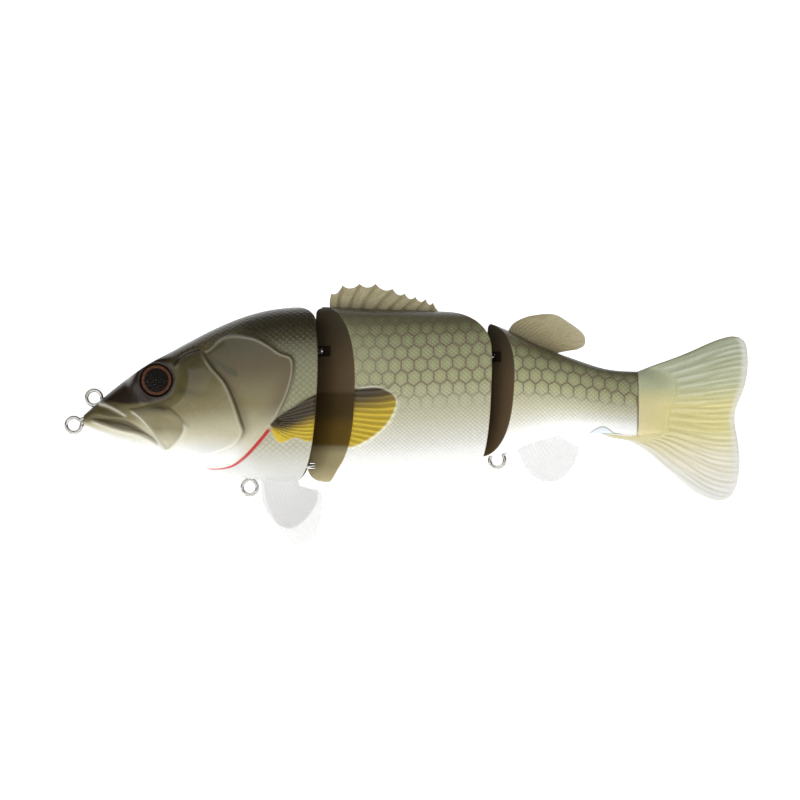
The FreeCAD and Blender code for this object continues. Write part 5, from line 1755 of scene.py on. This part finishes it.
class SWIMBAIT_OT_fins(bpy.types.Operator):
    """Build the dorsal, anal and pelvic fins"""
    bl_idname = "swimbait.fins"
    bl_label = "Fins"

    def execute(self, context):
        fins = context.scene.swimbait_fins
        olive = soft_plastic("olive_plastic", glitter=0.05, clearness=0.0)
        clear = soft_plastic("clear_plastic", glitter=0.1, clearness=0.68,
                             streak_tone=(0.95, 0.95, 0.94, 1))
        spiny_dorsal(olive)
        leaf_fin("soft_dorsal", SOFT_DORSAL, 17,
                 ((0.0, fins.olive_dark), (0.6, fins.olive), (1.0, fins.olive)),
                 "tail", "olive_fin", olive, "soft_dorsal_fin")
        # Painted shade: the right pelvic and anal fins get a darker copy of the clear tint.
        pale = {LEFT: ((0.0, fins.clear), (1.0, fins.clear)),
                RIGHT: ((0.0, fins.clear_shaded), (1.0, fins.clear_shaded))}
        leaf_fin("anal", ANAL, 14, pale[RIGHT], "tail", "clear_fin", clear, "anal_fin",
                 depth=CLEAR_DEPTH)
        for word, side, splay, trail in (("left", LEFT, 47.0, 0.0), ("right", RIGHT, 6.0, 3.0)):
            leaf_fin("pelvic_" + word, PELVIC, 12, pale[side], "head", "clear_fin", clear,
                     "pelvic_fin_" + word, place=pelvic_place(side, splay, trail),
                     depth=CLEAR_DEPTH)
        return {"FINISHED"}


class SWIMBAIT_OT_soft_tail(bpy.types.Operator):
    """Build the soft tail"""
    bl_idname = "swimbait.soft_tail"
    bl_label = "Soft Tail"

    def execute(self, context):
        soft_tail(soft_plastic("tail_plastic", glitter=0.3, clearness=0.0,
                               streak_tone=(0.90, 0.89, 0.84, 1)))
        return {"FINISHED"}


def area_light(name, place, target, size, power):
    """Soft rectangular light aimed at a point."""
    lamp = bpy.data.lights.new(name, "AREA")
    lamp.shape = "RECTANGLE"
    lamp.size, lamp.size_y = size
    lamp.energy = power
    holder = bpy.data.objects.new(name, lamp)
    holder.location = place
    aim = Vector(target) - Vector(place)
    holder.rotation_euler = aim.to_track_quat("-Z", "Y").to_euler()
    bpy.context.scene.collection.objects.link(holder)


SHEET_REACH = 2500.0    # how far the studio sheet runs forward, sideways and up, in mm
SHEET_BACK = 500.0      # where it starts to turn up
SHEET_BEND = 300.0      # radius of the turn
KEY_AT = (-0.25, -0.80, 0.35)               # key light from the lure's middle in x, in metres
KEY_SIZE = (0.9, 0.6)
AIM_AHEAD = 0.002       # how far ahead of the lure's middle the camera looks
AIM_HEIGHT = 0.0075     # and how far above its line tie


class SWIMBAIT_OT_stage(bpy.types.Operator):
    """Build the floor, the lights, the surroundings and the camera"""
    bl_idname = "swimbait.stage"
    bl_label = "Stage"

    def execute(self, context):
        scene = context.scene
        stage = scene.swimbait_stage
        low, high = CAD_BOX
        centre = [(low[k] + high[k]) / 2 for k in range(3)]
        floor_z = (low[2] - stage.floor_drop) * MM
        turn = np.linspace(0, math.pi / 2, 24)
        profile_y = np.concatenate([[-SHEET_REACH, -1000.0, -300.0],
                                    SHEET_BACK + SHEET_BEND * np.sin(turn),
                                    [SHEET_BACK + SHEET_BEND]])
        profile_z = floor_z + np.concatenate([[0, 0, 0], SHEET_BEND - SHEET_BEND * np.cos(turn),
                                              [SHEET_REACH]])
        across = np.linspace(-SHEET_REACH, SHEET_REACH, 20)
        sheet = np.stack([np.repeat(across[None], len(profile_y), axis=0),
                          np.repeat(profile_y[:, None], len(across), axis=1),
                          np.repeat(profile_z[:, None], len(across), axis=1)], axis=-1)
        floor = new_mesh_object("floor", sheet.reshape(-1, 3),
                                [grid_faces(len(profile_y), len(across))])
        floor.data.materials.append(studio_sheet())
        scene.world = studio_air()
        area_light("key", (centre[0] + KEY_AT[0], KEY_AT[1], KEY_AT[2]), centre, KEY_SIZE,
                   stage.key)

        camera_data = bpy.data.cameras.new("camera")
        camera_data.lens = stage.lens
        distance = stage.view_width / 2 / math.tan(camera_data.angle / 2)
        camera = bpy.data.objects.new("camera", camera_data)
        camera.location = (centre[0] - AIM_AHEAD, -distance, AIM_HEIGHT)
        camera.rotation_euler = (math.pi / 2, 0.0, 0.0)
        camera_data.clip_end = 20.0
        scene.collection.objects.link(camera)
        scene.camera = camera
        scene.view_settings.view_transform = "Standard"
        return {"FINISHED"}


OPERATORS = (
    SWIMBAIT_OT_stage, SWIMBAIT_OT_head, SWIMBAIT_OT_middle, SWIMBAIT_OT_tail,
    SWIMBAIT_OT_eyes, SWIMBAIT_OT_wire, SWIMBAIT_OT_ballast, SWIMBAIT_OT_fins,
    SWIMBAIT_OT_soft_tail,
)
SETTINGS = (
    ("swimbait_hull", SWIMBAIT_PG_hull), ("swimbait_eye", SWIMBAIT_PG_eye),
    ("swimbait_fins", SWIMBAIT_PG_fins), ("swimbait_stage", SWIMBAIT_PG_stage),
)


class SWIMBAIT_PT_panel(bpy.types.Panel):
    """Buttons and sizes of the swimbait"""
    bl_idname = "SWIMBAIT_PT_panel"
    bl_label = "Jointed Swimbait"
    bl_space_type = "VIEW_3D"
    bl_region_type = "UI"
    bl_category = "Swimbait"

    def draw(self, context):
        for operator in OPERATORS:
            self.layout.operator(operator.bl_idname)
        for name, group in SETTINGS:
            box = self.layout.box()
            for setting in group.__annotations__:
                box.prop(getattr(context.scene, name), setting)


def register():
    """Add the settings, the operators and the panel"""
    for name, group in SETTINGS:
        bpy.utils.register_class(group)
        setattr(bpy.types.Scene, name, PointerProperty(type=group))
    for item in OPERATORS + (SWIMBAIT_PT_panel,):
        bpy.utils.register_class(item)


def unregister():
    """Take them away again"""
    for item in (SWIMBAIT_PT_panel,) + OPERATORS[::-1]:
        bpy.utils.unregister_class(item)
    for name, group in SETTINGS[::-1]:
        delattr(bpy.types.Scene, name)
        bpy.utils.unregister_class(group)


def main():
    """Build every piece"""
    register()
    for operator in OPERATORS:
        group, name = operator.bl_idname.split(".")
        getattr(getattr(bpy.ops, group), name)()


if __name__ == "__main__":
    main()
